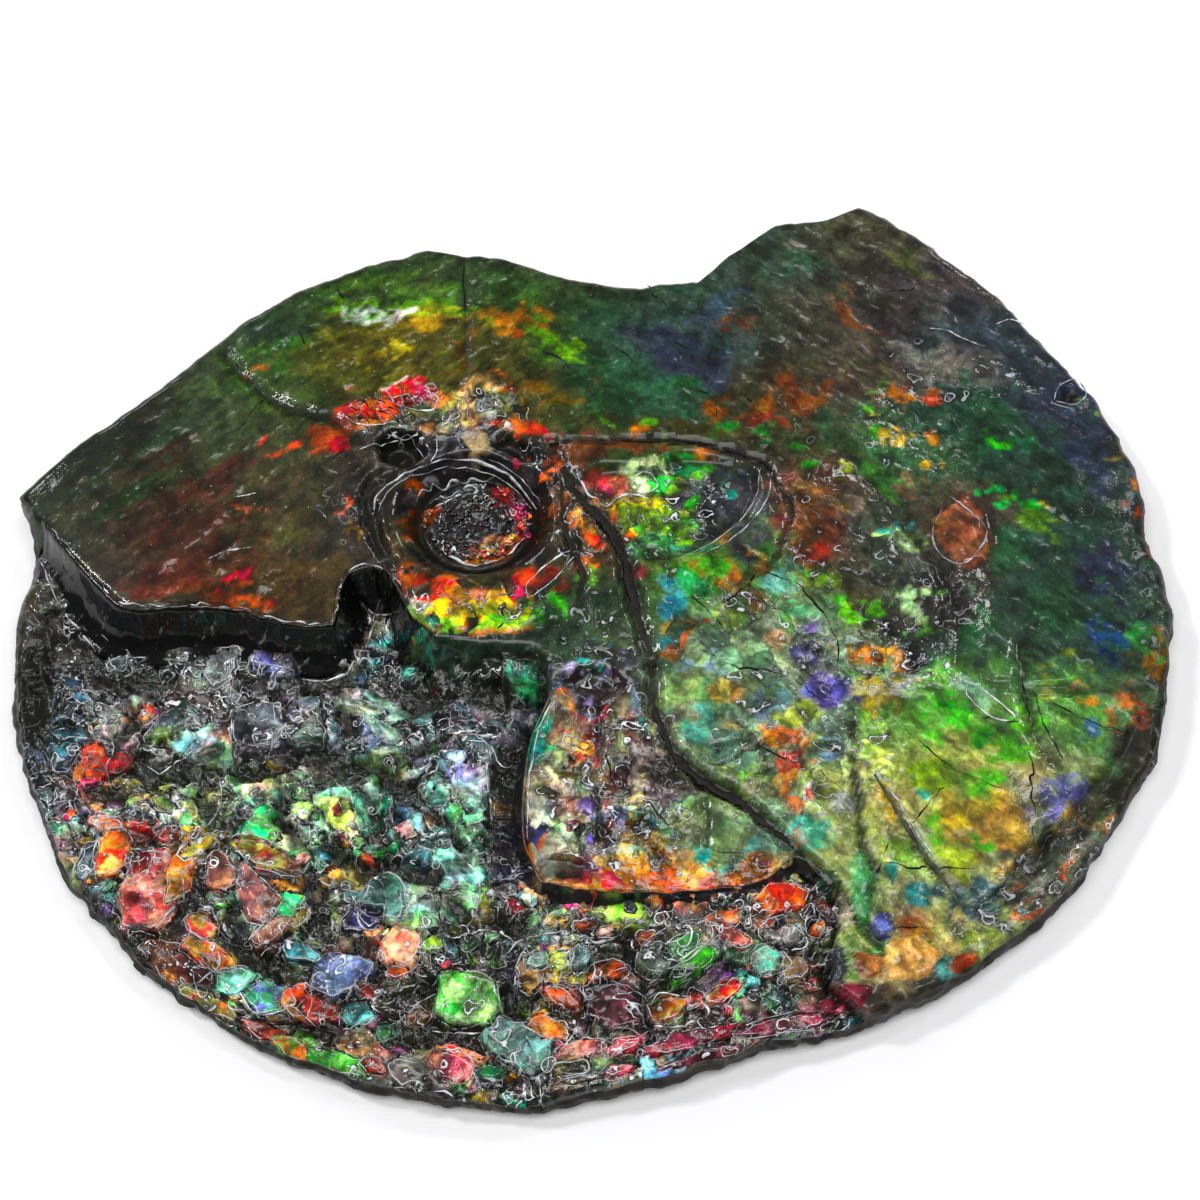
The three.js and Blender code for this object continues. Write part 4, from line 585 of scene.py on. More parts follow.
def rough(x, y, size, seed, layers=3):
    """Sum of waves, each one half the size and 0.55 of the height of the last, turned 37 degrees."""
    total, height = np.zeros(np.shape(x)), 1.0
    turn = math.radians(37.0)
    for layer in range(layers):
        total = total + height * waves(x, y, size, seed + layer)
        x, y = x * math.cos(turn) - y * math.sin(turn), x * math.sin(turn) + y * math.cos(turn)
        size, height = size / 2.0, height * 0.55
    return total


def swayed(x, y, amount, size, seed, layers=3):
    """Places moved by rough noise, in X by the seed's and in Y by the next seed's."""
    return x + amount * rough(x, y, size, seed, layers), y + amount * rough(x, y, size, seed + 1, layers)


def shards(x, y, size, seed):
    """Cells around points scattered one to a square: the gap between the two nearest distances,
    a random number for the nearest cell, and the way from its point."""
    table = np.random.default_rng(seed).random((67, 71, 3))
    u, v = x / size + 200.0, y / size + 200.0
    i, j = np.floor(u).astype(int), np.floor(v).astype(int)
    first = np.full(np.shape(x), 9.0)
    second = first.copy()
    number, way_x, way_y = np.zeros_like(first), np.zeros_like(first), np.zeros_like(first)
    for di in (-1, 0, 1):
        for dj in (-1, 0, 1):
            spot = table[(i + di) % 67, (j + dj) % 71]
            dx, dy = u - (i + di + spot[..., 0]), v - (j + dj + spot[..., 1])
            reach = np.hypot(dx, dy)
            nearer = reach < first
            second = np.where(nearer, first, np.minimum(second, reach))
            number = np.where(nearer, spot[..., 2], number)
            way_x, way_y = np.where(nearer, dx, way_x), np.where(nearer, dy, way_y)
            first = np.where(nearer, reach, first)
    return (second - first) * size, number, way_x * size, way_y * size


def inside(outline, x, y):
    """Distance to a closed outline, positive inside it: the nearest of its straight stretches,
    and the parity of the stretches that a ray to +X crosses."""
    nearest = np.full(np.shape(x), 1e9)
    within = np.zeros(np.shape(x), bool)
    for (ax, ay), (bx, by) in zip(outline, np.roll(outline, -1, axis=0)):
        ex, ey = bx - ax, by - ay
        t = np.clip(((x - ax) * ex + (y - ay) * ey) / (ex * ex + ey * ey), 0, 1)
        nearest = np.minimum(nearest, (x - ax - t * ex) ** 2 + (y - ay - t * ey) ** 2)
        if ey:
            within ^= ((ay > y) != (by > y)) & (x < ax + ex * (y - ay) / ey)
    return np.where(within, 1.0, -1.0) * np.sqrt(nearest)


def along(path, x, y):
    """Distance to an open path of straight stretches, and how far along it the nearest point is."""
    path = np.asarray(path, float)
    lengths = np.hypot(*np.diff(path, axis=0).T)
    passed = np.concatenate([[0], np.cumsum(lengths)])
    nearest, share = np.full(np.shape(x), 1e9), np.zeros(np.shape(x))
    for k, ((ax, ay), (bx, by)) in enumerate(zip(path[:-1], path[1:])):
        ex, ey = bx - ax, by - ay
        t = np.clip(((x - ax) * ex + (y - ay) * ey) / (ex * ex + ey * ey), 0, 1)
        reach = np.hypot(x - ax - t * ex, y - ay - t * ey)
        share = np.where(reach < nearest, (passed[k] + t * lengths[k]) / passed[-1], share)
        nearest = np.minimum(nearest, reach)
    return nearest, share


def smooth_path(path, count):
    """The points of a path, rounded by a cubic through them and evenly spaced along it. Further
    columns are carried along."""
    path = np.asarray(path, float)
    ends = np.vstack([2 * path[0] - path[1], path, 2 * path[-1] - path[-2]])
    t = np.linspace(0, len(path) - 1, 12 * len(path))
    k = np.minimum(t.astype(int), len(path) - 2)
    f = (t - k)[:, None]
    a, b, c, d = ends[k], ends[k + 1], ends[k + 2], ends[k + 3]
    fine = 0.5 * (2 * b + (c - a) * f + (2 * a - 5 * b + 4 * c - d) * f**2
                  + (3 * b - a - 3 * c + d) * f**3)
    passed = np.concatenate([[0], np.cumsum(np.hypot(*np.diff(fine[:, :2], axis=0).T))])
    even = np.linspace(0, passed[-1], count)
    return np.stack([np.interp(even, passed, column) for column in fine.T], -1)


# ---- The fossil's relief in millimetres --------------------------------------------------

# Rises of the shell layer and the bed: height at the middle, the middle, the half axes.
DOME_EDGE, DOME = 4.5, (6.0, (-12, 8), (72, 62))
BED_EDGE, BED = 3.4, (1.6, (-4, -14), (62, 46))
BANK = (1.8, (-9, -7), (9, 5))
RAISED = [(2.6, (6, -34), (21, 10)), (2.0, (-12.5, -23), (9, 13)), (1.7, (-11.5, -8), (10, 5))]
WORN_SLOPE = (-12, -7, 9, 5, 0)  # where the broken wall is worn to an even slope
BED_SWELL = 1.3  # share of the shell layer's slow waves on the bed

PANEL_FROM = 18  # broken edge point where the low wall of the wedge panel begins
RAY_SLOPE = 0.53  # plan shift to a millimetre of height that keeps a place in the same line of view
PIT_RADIUS, PIT_SOFT = 9.0, 1.2
CORE_RADIUS, CORE_SOFT = 5.4, 0.6
HOLLOW_SOFT = 1.3
CALM_RIM, CALM_SHARE = 2.2, 0.12  # width of the calmer rim, and the share of the relief left on it
FLAKE_CORNERS = 7
FLAKE_GROWTH = 1.26  # from the listed half sizes to the outline's mean reach
FLAKE_NEAR = 7.0  # no large flake reaches further from its place
FLAKE_EDGE = 0.3  # width of a large flake's sloping edge

BROKEN_EDGE[PANEL_FROM:, 2:] = 0.65 * BROKEN_EDGE[PANEL_FROM:, :2] + 0.35 * BROKEN_EDGE[PANEL_FROM:, 2:]
BEYOND_RIM = np.vstack([RIM[WHOLE_RIM_FROM:], RIM[:1]]) * 1.06
SLAB_TOP = np.vstack([BROKEN_EDGE[:, :2], BEYOND_RIM])
SLAB_FOOT = np.vstack([BROKEN_EDGE[:, 2:], BEYOND_RIM])


def cap(x, y, centre, reach):
    """1 at its centre, falling with the square to 0 on its half axes."""
    return np.clip(1 - ((x - centre[0]) / reach[0]) ** 2 - ((y - centre[1]) / reach[1]) ** 2, 0, 1)


def rise(x, y, height, centre, reach):
    """A cap of its own height."""
    return height * cap(x, y, centre, reach)


def flake_edges(halves, turns, corners, rng):
    """Outlines of broken plates: corners at uneven angles and reaches round an oval."""
    angle = 2 * math.pi * (np.arange(corners) + 0.6 * (rng.random((len(halves), corners)) - 0.5)) / corners
    reach = rng.uniform(0.82, 1.2, angle.shape)
    u, v = reach * np.cos(angle) * halves[:, :1], reach * np.sin(angle) * halves[:, 1:]
    cos, sin = np.cos(turns)[:, None], np.sin(turns)[:, None]
    return np.stack([u * cos - v * sin, u * sin + v * cos], -1)


def swell(x, y):
    """Two slow waves across the shell layer."""
    return 0.28 * np.sin(x / 4.1 + y / 9) + 0.24 * np.cos(y / 4.6 - x / 13)


def dome_height(x, y):
    """Height of the shell layer: a low dome with slow waves."""
    return DOME_EDGE + rise(x, y, *DOME) + swell(x, y)


def raised(x, y):
    """Extra height of the bed where it is banked up against the shell layer."""
    return np.max([rise(x, y, *bank) for bank in RAISED], axis=0)


def bed_height(x, y):
    """Height of the crushed bed: a lower dome, banked up in places, with slow waves."""
    bank = rise(x, y, *BANK) + raised(x, y)
    return BED_EDGE + rise(x, y, *BED) + bank + BED_SWELL * swell(y, x)


def flake_layout():
    """Places of the large flakes with a number each, and their outlines."""
    rng = np.random.default_rng(81)
    rows = np.array([row[:5] for row in LARGE_FLAKES], float)
    lifted = rows[:, 1] - RAY_SLOPE * raised(rows[:, 0], rows[:, 1])
    places = np.column_stack([rows[:, 0], lifted, rng.random(len(rows))])
    edges = flake_edges(rows[:, 2:4] * FLAKE_GROWTH, np.radians(rows[:, 4]), FLAKE_CORNERS, rng)
    return places, places[:, None, :2] + edges


FLAKE_PLACES, FLAKE_OUTLINES = flake_layout()


def wall_share(x, y):
    """0 on the bed, 1 on the shell layer, and the share of the way up the broken wall between."""
    top, foot = inside(SLAB_TOP, x, y), inside(SLAB_FOOT, x, y)
    between = np.where(foot > 0, foot / np.maximum(foot - np.minimum(top, 0), 1e-6), 0.0)
    return np.where(top >= 0, 1.0, between)


def coil_radius(x, y):
    """Distance to the coil's centre, with Y stretched so that the coil is round."""
    return np.hypot(x - COIL_CENTRE[0], (y - COIL_CENTRE[1]) / COIL_STRETCH)


def spiral_ridge(x, y):
    """A rounded ridge on a flat spiral, r = start + step * turns, as a height from 0 to 1."""
    radius = coil_radius(x, y)
    angle = np.arctan2((y - COIL_CENTRE[1]) / COIL_STRETCH, x - COIL_CENTRE[0])
    first = ((angle - 0.6) / (2 * math.pi)) % 1.0
    height = np.zeros(np.shape(x))
    for whorl in range(3):
        turns = first + whorl
        half = 0.4 + 0.13 * turns
        ridge = np.clip(1 - ((radius - SPIRAL_START - SPIRAL_STEP * turns) / half) ** 2, 0, 1)
        height = np.maximum(height, ridge * (turns < SPIRAL_TURNS))
    return height


def digit(number, place):
    """Another even random number from 0 to 1, drawn from the first."""
    return (number * place) % 1.0


def facet(number, way_x, way_y, steepness):
    """Height of a tilted facet: its number gives its level, its lean and its slope."""
    lean = 6.283 * digit(number, 7.13)
    slope = steepness * digit(number, 3.7)
    return number - 0.5 + slope * (way_x * np.cos(lean) + way_y * np.sin(lean))


def crushed(x, y, size, seed):
    """Tilted facets, one to a shard, with a narrow trench between them."""
    gap, number, way_x, way_y = shards(x, y, size, seed)
    return 0.9 * facet(number, way_x, way_y, 0.55) - 0.5 * (1 - ease(gap / (0.22 * size)))


def crust_cells(x, y):
    """Cells of the crushed bed: a large cell is whole, or parted into small ones, by its random
    number. Returns the distance to the nearest border, the number, and the way from the middle."""
    u, v = swayed(x, y, 0.42, 1.9, 27, 2)
    v = v * 1.15 + 0.15 * x
    gap, number, way_x, way_y = shards(u, v, 4.6, 21)
    small_gap, small_number, small_x, small_y = shards(u, v, 2.1, 22)
    parted = digit(number, 5.3) > 0.5
    gap = np.where(parted, np.minimum(gap, small_gap), gap)
    number = np.where(parted, (number + small_number) % 1.0, number)
    return gap, number, np.where(parted, small_x, way_x), np.where(parted, small_y, way_y)


def crust_height(x, y):
    """Relief of the crushed bed: lumps of a facet each, parted by crevices, with fine wrinkles."""
    gap, number, way_x, way_y = crust_cells(x, y)
    lump = 0.75 * facet(number, way_x, way_y, 0.45) + 0.25 * ease(gap / 0.8)
    return lump - 0.45 * (1 - ease(gap / 0.3)) + 0.1 * rough(x, y, 1.0, 29)


def flake_cover(x, y):
    """The large flake that covers each point, or -1, and how far inside its outline the point is."""
    flat_x, flat_y = np.ravel(x), np.ravel(y)
    which, depth = np.full(flat_x.shape, -1), np.zeros(flat_x.shape)
    bent_x, bent_y = swayed(flat_x, flat_y, 0.1, 1.1, 85)
    for k, outline in enumerate(FLAKE_OUTLINES):
        place_x, place_y, _ = FLAKE_PLACES[k]
        near = np.nonzero(np.hypot(flat_x - place_x, flat_y - place_y) < FLAKE_NEAR)[0]
        deep = inside(outline, bent_x[near], bent_y[near])
        which[near[deep > 0]] = k
        depth[near[deep > 0]] = deep[deep > 0]
    return which.reshape(np.shape(x)), depth.reshape(np.shape(x))


def ground(x, y):
    """Height of the fossil's upper side without cracks: bed and shell layer joined by the broken
    wall, then the hollows, the coil and each zone's own roughness."""
    share = wall_share(x, y)
    gentle = spot_weight(x, y, *WORN_SLOPE, 0.3)
    climb = share ** 4 * (1 - gentle) + ease(share) * gentle
    dome, bed = dome_height(x, y), bed_height(x, y)
    z = bed + (dome - bed) * climb
    radius = coil_radius(x, y)
    pit = ease((PIT_RADIUS - radius) / PIT_SOFT)
    coil = dome_height(*COIL_CENTRE) + np.interp(radius, COIL_RADII, COIL_LIFTS)
    core = ease((CORE_RADIUS - radius) / CORE_SOFT)
    coil = coil + core * (0.55 * spiral_ridge(x, y) + 0.4 * crushed(x, y, 1.2, 25))
    z = z * (1 - pit) + coil * pit
    for depth, mouth in HOLLOWS:
        z = z - depth * ease(inside(np.array(mouth), x, y) / HOLLOW_SOFT + 0.2)
    z = z + (1 - climb) * crust_height(x, y)
    broken = climb * broken_zone(x, y)
    z = z + broken * (0.3 * crushed(x, y, 2.8, 23) + 0.14 * crushed(x, y, 1.3, 24))
    return z + climb * (0.03 * rough(x, y, 3.0, 31) + 0.015 * rough(x, y, 0.9, 32))


def drawn_y(x, y):
    """Y as drawn in the lists, which name places on the bed as if it weren't banked up."""
    return y + RAY_SLOPE * raised(x, y) * (1 - ease(wall_share(x, y) * 1.5))


def grooves(x, y):
    """How deep the cracks and crevices cut, and how much painted shade they get, from 0 to 1. Each
    fades at both ends and has ragged sides."""
    place = x + 0.3 * rough(x, y, 1.6, 5, 2), drawn_y(x, y) + 0.3 * rough(x, y, 1.6, 8, 2)
    cut, dark = np.zeros(np.shape(x)), np.zeros(np.shape(x))
    for width, depth, path, *_ in CRACKS:
        reach, share = along(path, *place)
        amount = ease(2.0 - 2.8 * reach / width) * (0.5 + 0.5 * np.sin(math.pi * share))
        cut, dark = cut + depth * amount, np.maximum(dark, min(1.0, depth) * amount)
    return cut, dark


def from_rim(x, y):
    """Distance to the outline, along the ray from the middle."""
    return rim_radius(np.arctan2(y, x).ravel()).reshape(np.shape(x)) - np.hypot(x, y)


def relief(x, y):
    """The ground with its large flakes, each a leaning plate that stands a little proud, less its
    cracks and crevices. All of it calms towards the rim."""
    z = ground(x, y)
    which, depth = flake_cover(x, y)
    place = FLAKE_PLACES[which]
    way_x, way_y = x - place[..., 0], y - place[..., 1]
    plate = bed_height(place[..., 0], place[..., 1]) + 0.45 + facet(place[..., 2], way_x, way_y, 0.22)
    plate = plate + 0.1 * rough(x, y, 1.5, 87) + 0.12 * crushed(x, y, 1.6, 88)
    on_shell = wall_share(place[..., 0], place[..., 1]) > 0.5
    plate = np.where(on_shell, z + 0.35, plate)
    cover = ease(depth / FLAKE_EDGE)
    z = z + (plate - z) * cover * (which >= 0)
    z = z - 0.55 * grooves(x, y)[0] * (1 - 0.7 * cover)
    share = ease(wall_share(x, y))
    calm = bed_height(x, y) * (1 - share) + dome_height(x, y) * share
    return calm + (z - calm) * (CALM_SHARE + (1 - CALM_SHARE) * ease(from_rim(x, y) / CALM_RIM))


# Parts of the shell layer that are crushed too: x, y, half length, half width, turn, share.
BROKEN_ZONES = [
    (-16, 21.5, 9, 3.2, 4, 1.0), (24, 8, 7, 8, 20, 0.4), (33, 20, 6, 7, 0, 0.3), (35, 0, 5, 6, 0, 0.25),
    (27, -6, 9, 4, -10, 0.9), (2, -21, 8, 9, 0, 1.0), (27, -16, 3, 5, 0, 0.7), (-12, -2, 8, 3, 0, 0.6),
    (6, 10, 8, 5, 20, 0.8), (-3, 10, 2.4, 8, 12, 0.5), (53, 16, 4, 14, 0, 0.15), (-12.3, 9.3, 4.4, 4, 0, 0.3),
    (44, -28, 12, 3, 40, 0.6), (0, -6, 5, 6, 0, 0.4), (38, 28, 8, 4, -20, 0.3), (-25, 12, 4, 8, 0, 0.2),
    (12, -30, 9, 2, 4, 0.8), (18, -16, 8, 10, 0, 0.45), (57, 0, 3, 12, 0, 0.2), (16, -4, 8, 7, 0, 0.45),
]

SMOOTH_MARGIN = (-58, -5, 5, 15, 4)  # the bed's smoother left margin

# Where the colour is parted into cells: x, y, half length, half width, turn, share.
MOSAIC_ZONES = [
    (15, -2, 10, 9, 0, 0.75), (18, -16, 11, 10, 0, 0.6), (40, -22, 17, 13, 30, 0.25), (24, 6, 7, 10, 0, 0.6),
    (1, -20, 9, 12, 0, 0.8), (28, 18, 14, 8, 0, 0.4), (6, 10, 8, 6, 20, 0.8), (-12, -2, 8, 4, 0, 0.7),
    (-16, 21, 10, 4, 0, 0.6), (30, -30, 10, 8, 20, 0.35),
]


def spot_weight(x, y, spot_x, spot_y, half_length, half_width, turn, soft):
    """1 within a turned ellipse, eased to 0 across its edge; soft is the share that is edge."""
    angle = math.radians(turn)
    u = ((x - spot_x) * math.cos(angle) + (y - spot_y) * math.sin(angle)) / half_length
    v = ((y - spot_y) * math.cos(angle) - (x - spot_x) * math.sin(angle)) / half_width
    return ease((1 + soft - np.hypot(u, v)) / (2 * soft))


def zone_share(x, y, zones, soft, least):
    """The strongest of the zones at each point, and at least the given share."""
    total = np.full(np.shape(x), float(least))
    for *spot, strength in zones:
        total = np.maximum(total, strength * spot_weight(x, y, *spot, soft))
    return total


def broken_zone(x, y):
    """How crushed the shell layer is, from 0 to 1."""
    return zone_share(x, y, BROKEN_ZONES, 0.35, 0)


def looseness(x, y):
    """1 on the crushed bed, eased to 0 half way up the broken wall."""
    return 1 - ease(wall_share(x, y) * 2)


# ---- Colours ---------------------------------------------------------------------------

GROUND_SHADE = "26281c"
SIDE_SHADES = ("0c0b09", "2c261a")  # dark and light layers of the rim
# The first of each of these marks is painted shade: it darkens the colour towards black.
QUIET_MARKS = (0.2, 0.1, 0.15, 0.1)  # hollow, crust, coat and mosaic of the rim
WALL_MARKS = (0.0, 0.1, 0.6, 0.1)
FLAKE_MARKS = (0.0, 0.8, 1.0, 0.5)


def linear(shade):
    """Linear red, green and blue of a shade given as six hexadecimal digits."""
    parts = np.array([int(shade[k:k + 2], 16) / 255 for k in (0, 2, 4)])
    return np.where(parts <= 0.04045, parts / 12.92, ((parts + 0.055) / 1.055) ** 2.4)


def paint(x, y):
    """Colour of the fossil in plan: soft washes, bands round the coil, then ragged patches, each
    one over the last."""
    y = drawn_y(x, y)
    near_x, near_y = swayed(x, y, 0.26, 1.5, 41)
    far_x, far_y = rough(x, y, 4.6, 43), rough(x, y, 4.6, 44)
    colour = np.broadcast_to(linear(GROUND_SHADE), (*np.shape(x), 3)).copy()

    def lay(strokes, soft):
        for stroke_x, stroke_y, half_length, half_width, turn, shade in strokes:
            sway = min(1.6, 0.32 * min(half_length, half_width))
            weight = spot_weight(near_x + sway * far_x, near_y + sway * far_y,
                                 stroke_x, stroke_y, half_length, half_width, turn, soft)
            colour[...] += (linear(shade) - colour) * weight[..., None]

    lay(WASHES, 0.45)
    radius = coil_radius(near_x, near_y)
    angle = np.degrees(np.arctan2((y - COIL_CENTRE[1]) / COIL_STRETCH, x - COIL_CENTRE[0]))
    for middle, half, first, last, shade in BANDS:
        off = np.abs((angle - (first + last) / 2 + 180) % 360 - 180)
        across = ease((1.25 - np.abs(radius - middle) / half) / 0.5)
        weight = across * ease(((last - first) / 2 - off) / 4 + 0.5)
        colour += (linear(shade) - colour) * weight[..., None]
    lay(PATCHES, 0.2)
    return colour


# ---- Meshes ----------------------------------------------------------------------------

def put_mesh(name, points, faces, shades, material):
    """Makes a piece of the fossil from points in millimetres and lists of equal-sided faces,
    with its colours on the points, and rides it on the fossil's body."""
    middle = (RIM.min(axis=0) + RIM.max(axis=0)) / 2
    place = (points - np.array([*middle, 0.0])) * MM
    mesh = bpy.data.meshes.new(name)
    mesh.vertices.add(len(place))
    mesh.vertices.foreach_set("co", place.astype(np.float32).ravel())
    corners = np.concatenate([block.ravel() for block in faces]).astype(np.int32)
    sizes = np.concatenate([np.full(len(block), block.shape[1]) for block in faces])
    mesh.loops.add(len(corners))
    mesh.loops.foreach_set("vertex_index", corners)
    mesh.polygons.add(len(sizes))
    mesh.polygons.foreach_set("loop_start", (np.cumsum(sizes) - sizes).astype(np.int32))
    mesh.polygons.foreach_set("use_smooth", np.full(len(sizes), True))
    mesh.update(calc_edges=True)
    if mesh.validate():
        raise RuntimeError(f"{name} has faces that Blender had to mend")
    for layer, values in shades.items():
        flat = np.ones((len(place), 4), np.float32)
        flat[:, :values.shape[-1]] = values.reshape(-1, values.shape[-1])
        mesh.attributes.new(layer, "FLOAT_COLOR", "POINT").data.foreach_set("color", flat.ravel())
    piece = bpy.data.objects.new(name, mesh)
    bpy.context.scene.collection.objects.link(piece)
    piece.data.materials.append(material)
    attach(piece, BODY)
    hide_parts(NODE)


def skins(rings, first, last):
    """Closed skins over batches of rings: quads between the rings, fans to a pole at each end.
    rings is (pieces, rings, sides, 3), first and last are (pieces, 3)."""
    pieces, levels, sides, _ = rings.shape
    points = np.concatenate([rings.reshape(pieces, -1, 3), first[:, None], last[:, None]], axis=1)
    level, side = np.meshgrid(np.arange(levels - 1) * sides, np.arange(sides), indexing="ij")
    after = (side + 1) % sides
    quads = np.stack([level + side, level + after, level + sides + after, level + sides + side], -1)
    around = np.arange(sides)
    ahead = (around + 1) % sides
    start = np.stack([np.full(sides, levels * sides), ahead, around], -1)
    top = (levels - 1) * sides
    end = np.stack([np.full(sides, levels * sides + 1), top + around, top + ahead], -1)
    shift = (np.arange(pieces) * (levels * sides + 2))[:, None, None]
    blocks = [(shift + block).reshape(-1, block.shape[1]) for block in (quads.reshape(-1, 4), start, end)]
    return points.reshape(-1, 3), blocks


def tubes(paths, radii, sides=4):
    """Round bars along paths of equal point count: a ring of points around each path point,
    square to the path, with the path's ends drawn to points. Returns the rings and the poles."""
    way = np.gradient(paths, axis=1)
    way /= np.linalg.norm(way, axis=2, keepdims=True) + 1e-9
    across = np.cross(way, np.array([0.0, 0.0, 1.0]))
    across /= np.linalg.norm(across, axis=2, keepdims=True) + 1e-9
    upward = np.cross(across, way)
    angle = 2 * math.pi * np.arange(sides) / sides
    spread = across[:, :, None] * np.cos(angle)[:, None] + upward[:, :, None] * np.sin(angle)[:, None]
    rings = paths[:, :, None] + spread * radii[:, :, None, None]
    first = paths[:, 0] - way[:, 0] * radii[:, :1]
    last = paths[:, -1] + way[:, -1] * radii[:, -1:]
    return rings[:, :, ::-1], first, last


def colours_of(rings, first, last):
    """Joins ring and pole colours in the point order that skins uses."""
    parts = rings.shape[-1]
    return np.concatenate([rings.reshape(len(rings), -1, parts), first[:, None], last[:, None]], axis=1)


# ---- The fossil's body ------------------------------------------------------------------

MIDDLE_OVAL = (59.0, 47.0)  # half axes of the oval that the grid follows near its middle
BED_CROWDING = (0.15, 0.2)  # how far the grid's lines crowd to the left and to the front
SIDE_LEVELS = (0.93, 0.84, 0.74, 0.63, 0.53, 0.43, 0.33, 0.22, 0.11, 0.0)
SIDE_HEIGHTS, SIDE_SHARES = (0, 0.2, 0.5, 1), (0.91, 0.972, 1.0, 0.994)  # share of the rim at a height
BELLY_SHARES = (0.8, 0.5, 0.2)
LIP_DROP = 0.5


def rim_radius(angle):
    """Distance from the middle to the outline at an angle: where the ray meets the outline's
    straight stretch, with fine jags added."""
    turns = np.arctan2(RIM[:, 1], RIM[:, 0])
    order = np.argsort(turns)
    ring, turns = RIM[order], turns[order]
    k = np.searchsorted(turns, angle) % len(ring)
    start, way = ring[k - 1], ring[k] - ring[k - 1]
    cross = np.cos(angle) * way[:, 1] - np.sin(angle) * way[:, 0]
    radius = (start[:, 0] * way[:, 1] - start[:, 1] * way[:, 0]) / cross
    x, y = radius * np.cos(angle), radius * np.sin(angle)
    return radius - 0.16 + 0.22 * rough(x, y, 2.4, 51)


def disc_grid(steps):
    """A square grid laid over the disc, closer on the crushed bed: p + c (p^2 - 1) crowds its lines
    to the left and the front. Then u and v from -1 to 1 become X = u sqrt(1 - v^2/2) and
    Y = v sqrt(1 - u^2/2), and the radius is stretched to the outline, more so near the rim."""
    even = np.linspace(-1, 1, steps)
    lines_x, lines_y = [even + crowding * (even**2 - 1) for crowding in BED_CROWDING]
    u, v = np.meshgrid(lines_x, lines_y, indexing="ij")
    disc_x, disc_y = u * np.sqrt(1 - v * v / 2), v * np.sqrt(1 - u * u / 2)
    radius, angle = np.hypot(disc_x, disc_y), np.arctan2(disc_y, disc_x)
    outline = rim_radius(angle.ravel()).reshape(angle.shape)
    oval = 1 / np.hypot(np.cos(angle) / MIDDLE_OVAL[0], np.sin(angle) / MIDDLE_OVAL[1])
    share = radius ** 5
    reach = radius * (oval * (1 - share) + outline * share)
    return reach * np.cos(angle), reach * np.sin(angle), outline - reach


def boundary(steps):
    """Indices of the grid's outer points, anticlockwise seen from above."""
    last = steps - 1
    low = [i * steps for i in range(last)]
    right = [last * steps + j for j in range(last)]
    high = [i * steps + last for i in range(last, 0, -1)]
    left = list(range(last, 0, -1))
    return np.array(low + right + high + left)


def cavity(z, reach):
    """How far each point lies below the mean of its neighbours out to reach grid steps. It sets the
    painted shade in hollows.
    """
    mean = z.copy()
    for axis in (0, 1):
        padded = np.pad(mean, [(reach, reach) if a == axis else (0, 0) for a in (0, 1)], mode="edge")
        mean = sum(np.roll(padded, shift, axis) for shift in range(-reach, reach + 1)) / (2 * reach + 1)
        mean = mean[reach:-reach] if axis == 0 else mean[:, reach:-reach]
    return mean - z


def crust_amount(x, y):
    """How crusty the surface is, from 0 on the smooth shell layer to 1 on the crushed bed, less at
    the bed's smoother left margin."""
    loose = looseness(x, y) * (1 - 0.55 * spot_weight(x, y, *SMOOTH_MARGIN, 0.4))
    return np.clip(np.maximum(loose, broken_zone(x, y)), 0.04, 1)


def mosaic_amount(x, y):
    """How clearly the colour is parted into cells."""
    return np.maximum(zone_share(x, y, MOSAIC_ZONES, 0.3, 0.12), 0.6 * looseness(x, y))


def cell_tones(x, y, base):
    """Two tones for each cell of the crushed bed: the paint near its middle or, more often to the
    front, an accent, at the cell's own brightness. Also the distance to the cell's border."""
    gap, number, way_x, way_y = crust_cells(x, y)
    aside_x, aside_y = [2.4 * (digit(number, place) - 0.5) for place in (17.3, 29.7)]
    own = paint(x - way_x + aside_x, y - way_y + aside_y)
    accents = np.array([linear(shade) for shade in ACCENTS])
    accent = accents[(digit(number, 53.9) * len(accents)).astype(int)]
    lower = ease((-19 - y) / 8)
    share = 0.7 * (digit(number, 71.1) < 0.05 + 0.22 * lower)[..., None]
    first = 0.4 * base + 0.6 * own
    first = (first + (accent - first) * share) * np.exp(1.9 * (digit(number, 91.7) - 0.5))[..., None]
    skew = np.stack([digit(number, place) for place in (13.3, 37.1, 61.9)], -1) - 0.5
    return first, first * (0.8 + (0.7 + 0.5 * lower[..., None]) * skew), gap


def flake_tones(x, y):
    """Two tones for each large flake, parted by small shards, and how far inside its outline."""
    which, depth = flake_cover(x, y)
    tones = np.array([[linear(row[5]), linear(row[6])] for row in LARGE_FLAKES])[which]
    tones = tones + 0.14 * (tones.mean(axis=-1, keepdims=True) - tones)
    _, number, _, _ = shards(x, y, 1.7, 89)
    swap = (number > 0.6)[..., None]
    value = (0.55 + 0.6 * digit(number, 19.7))[..., None]
    first = np.where(swap, tones[..., 1, :], tones[..., 0, :]) * value
    return first, np.where(swap, tones[..., 0, :], tones[..., 1, :]) * value, depth, which >= 0


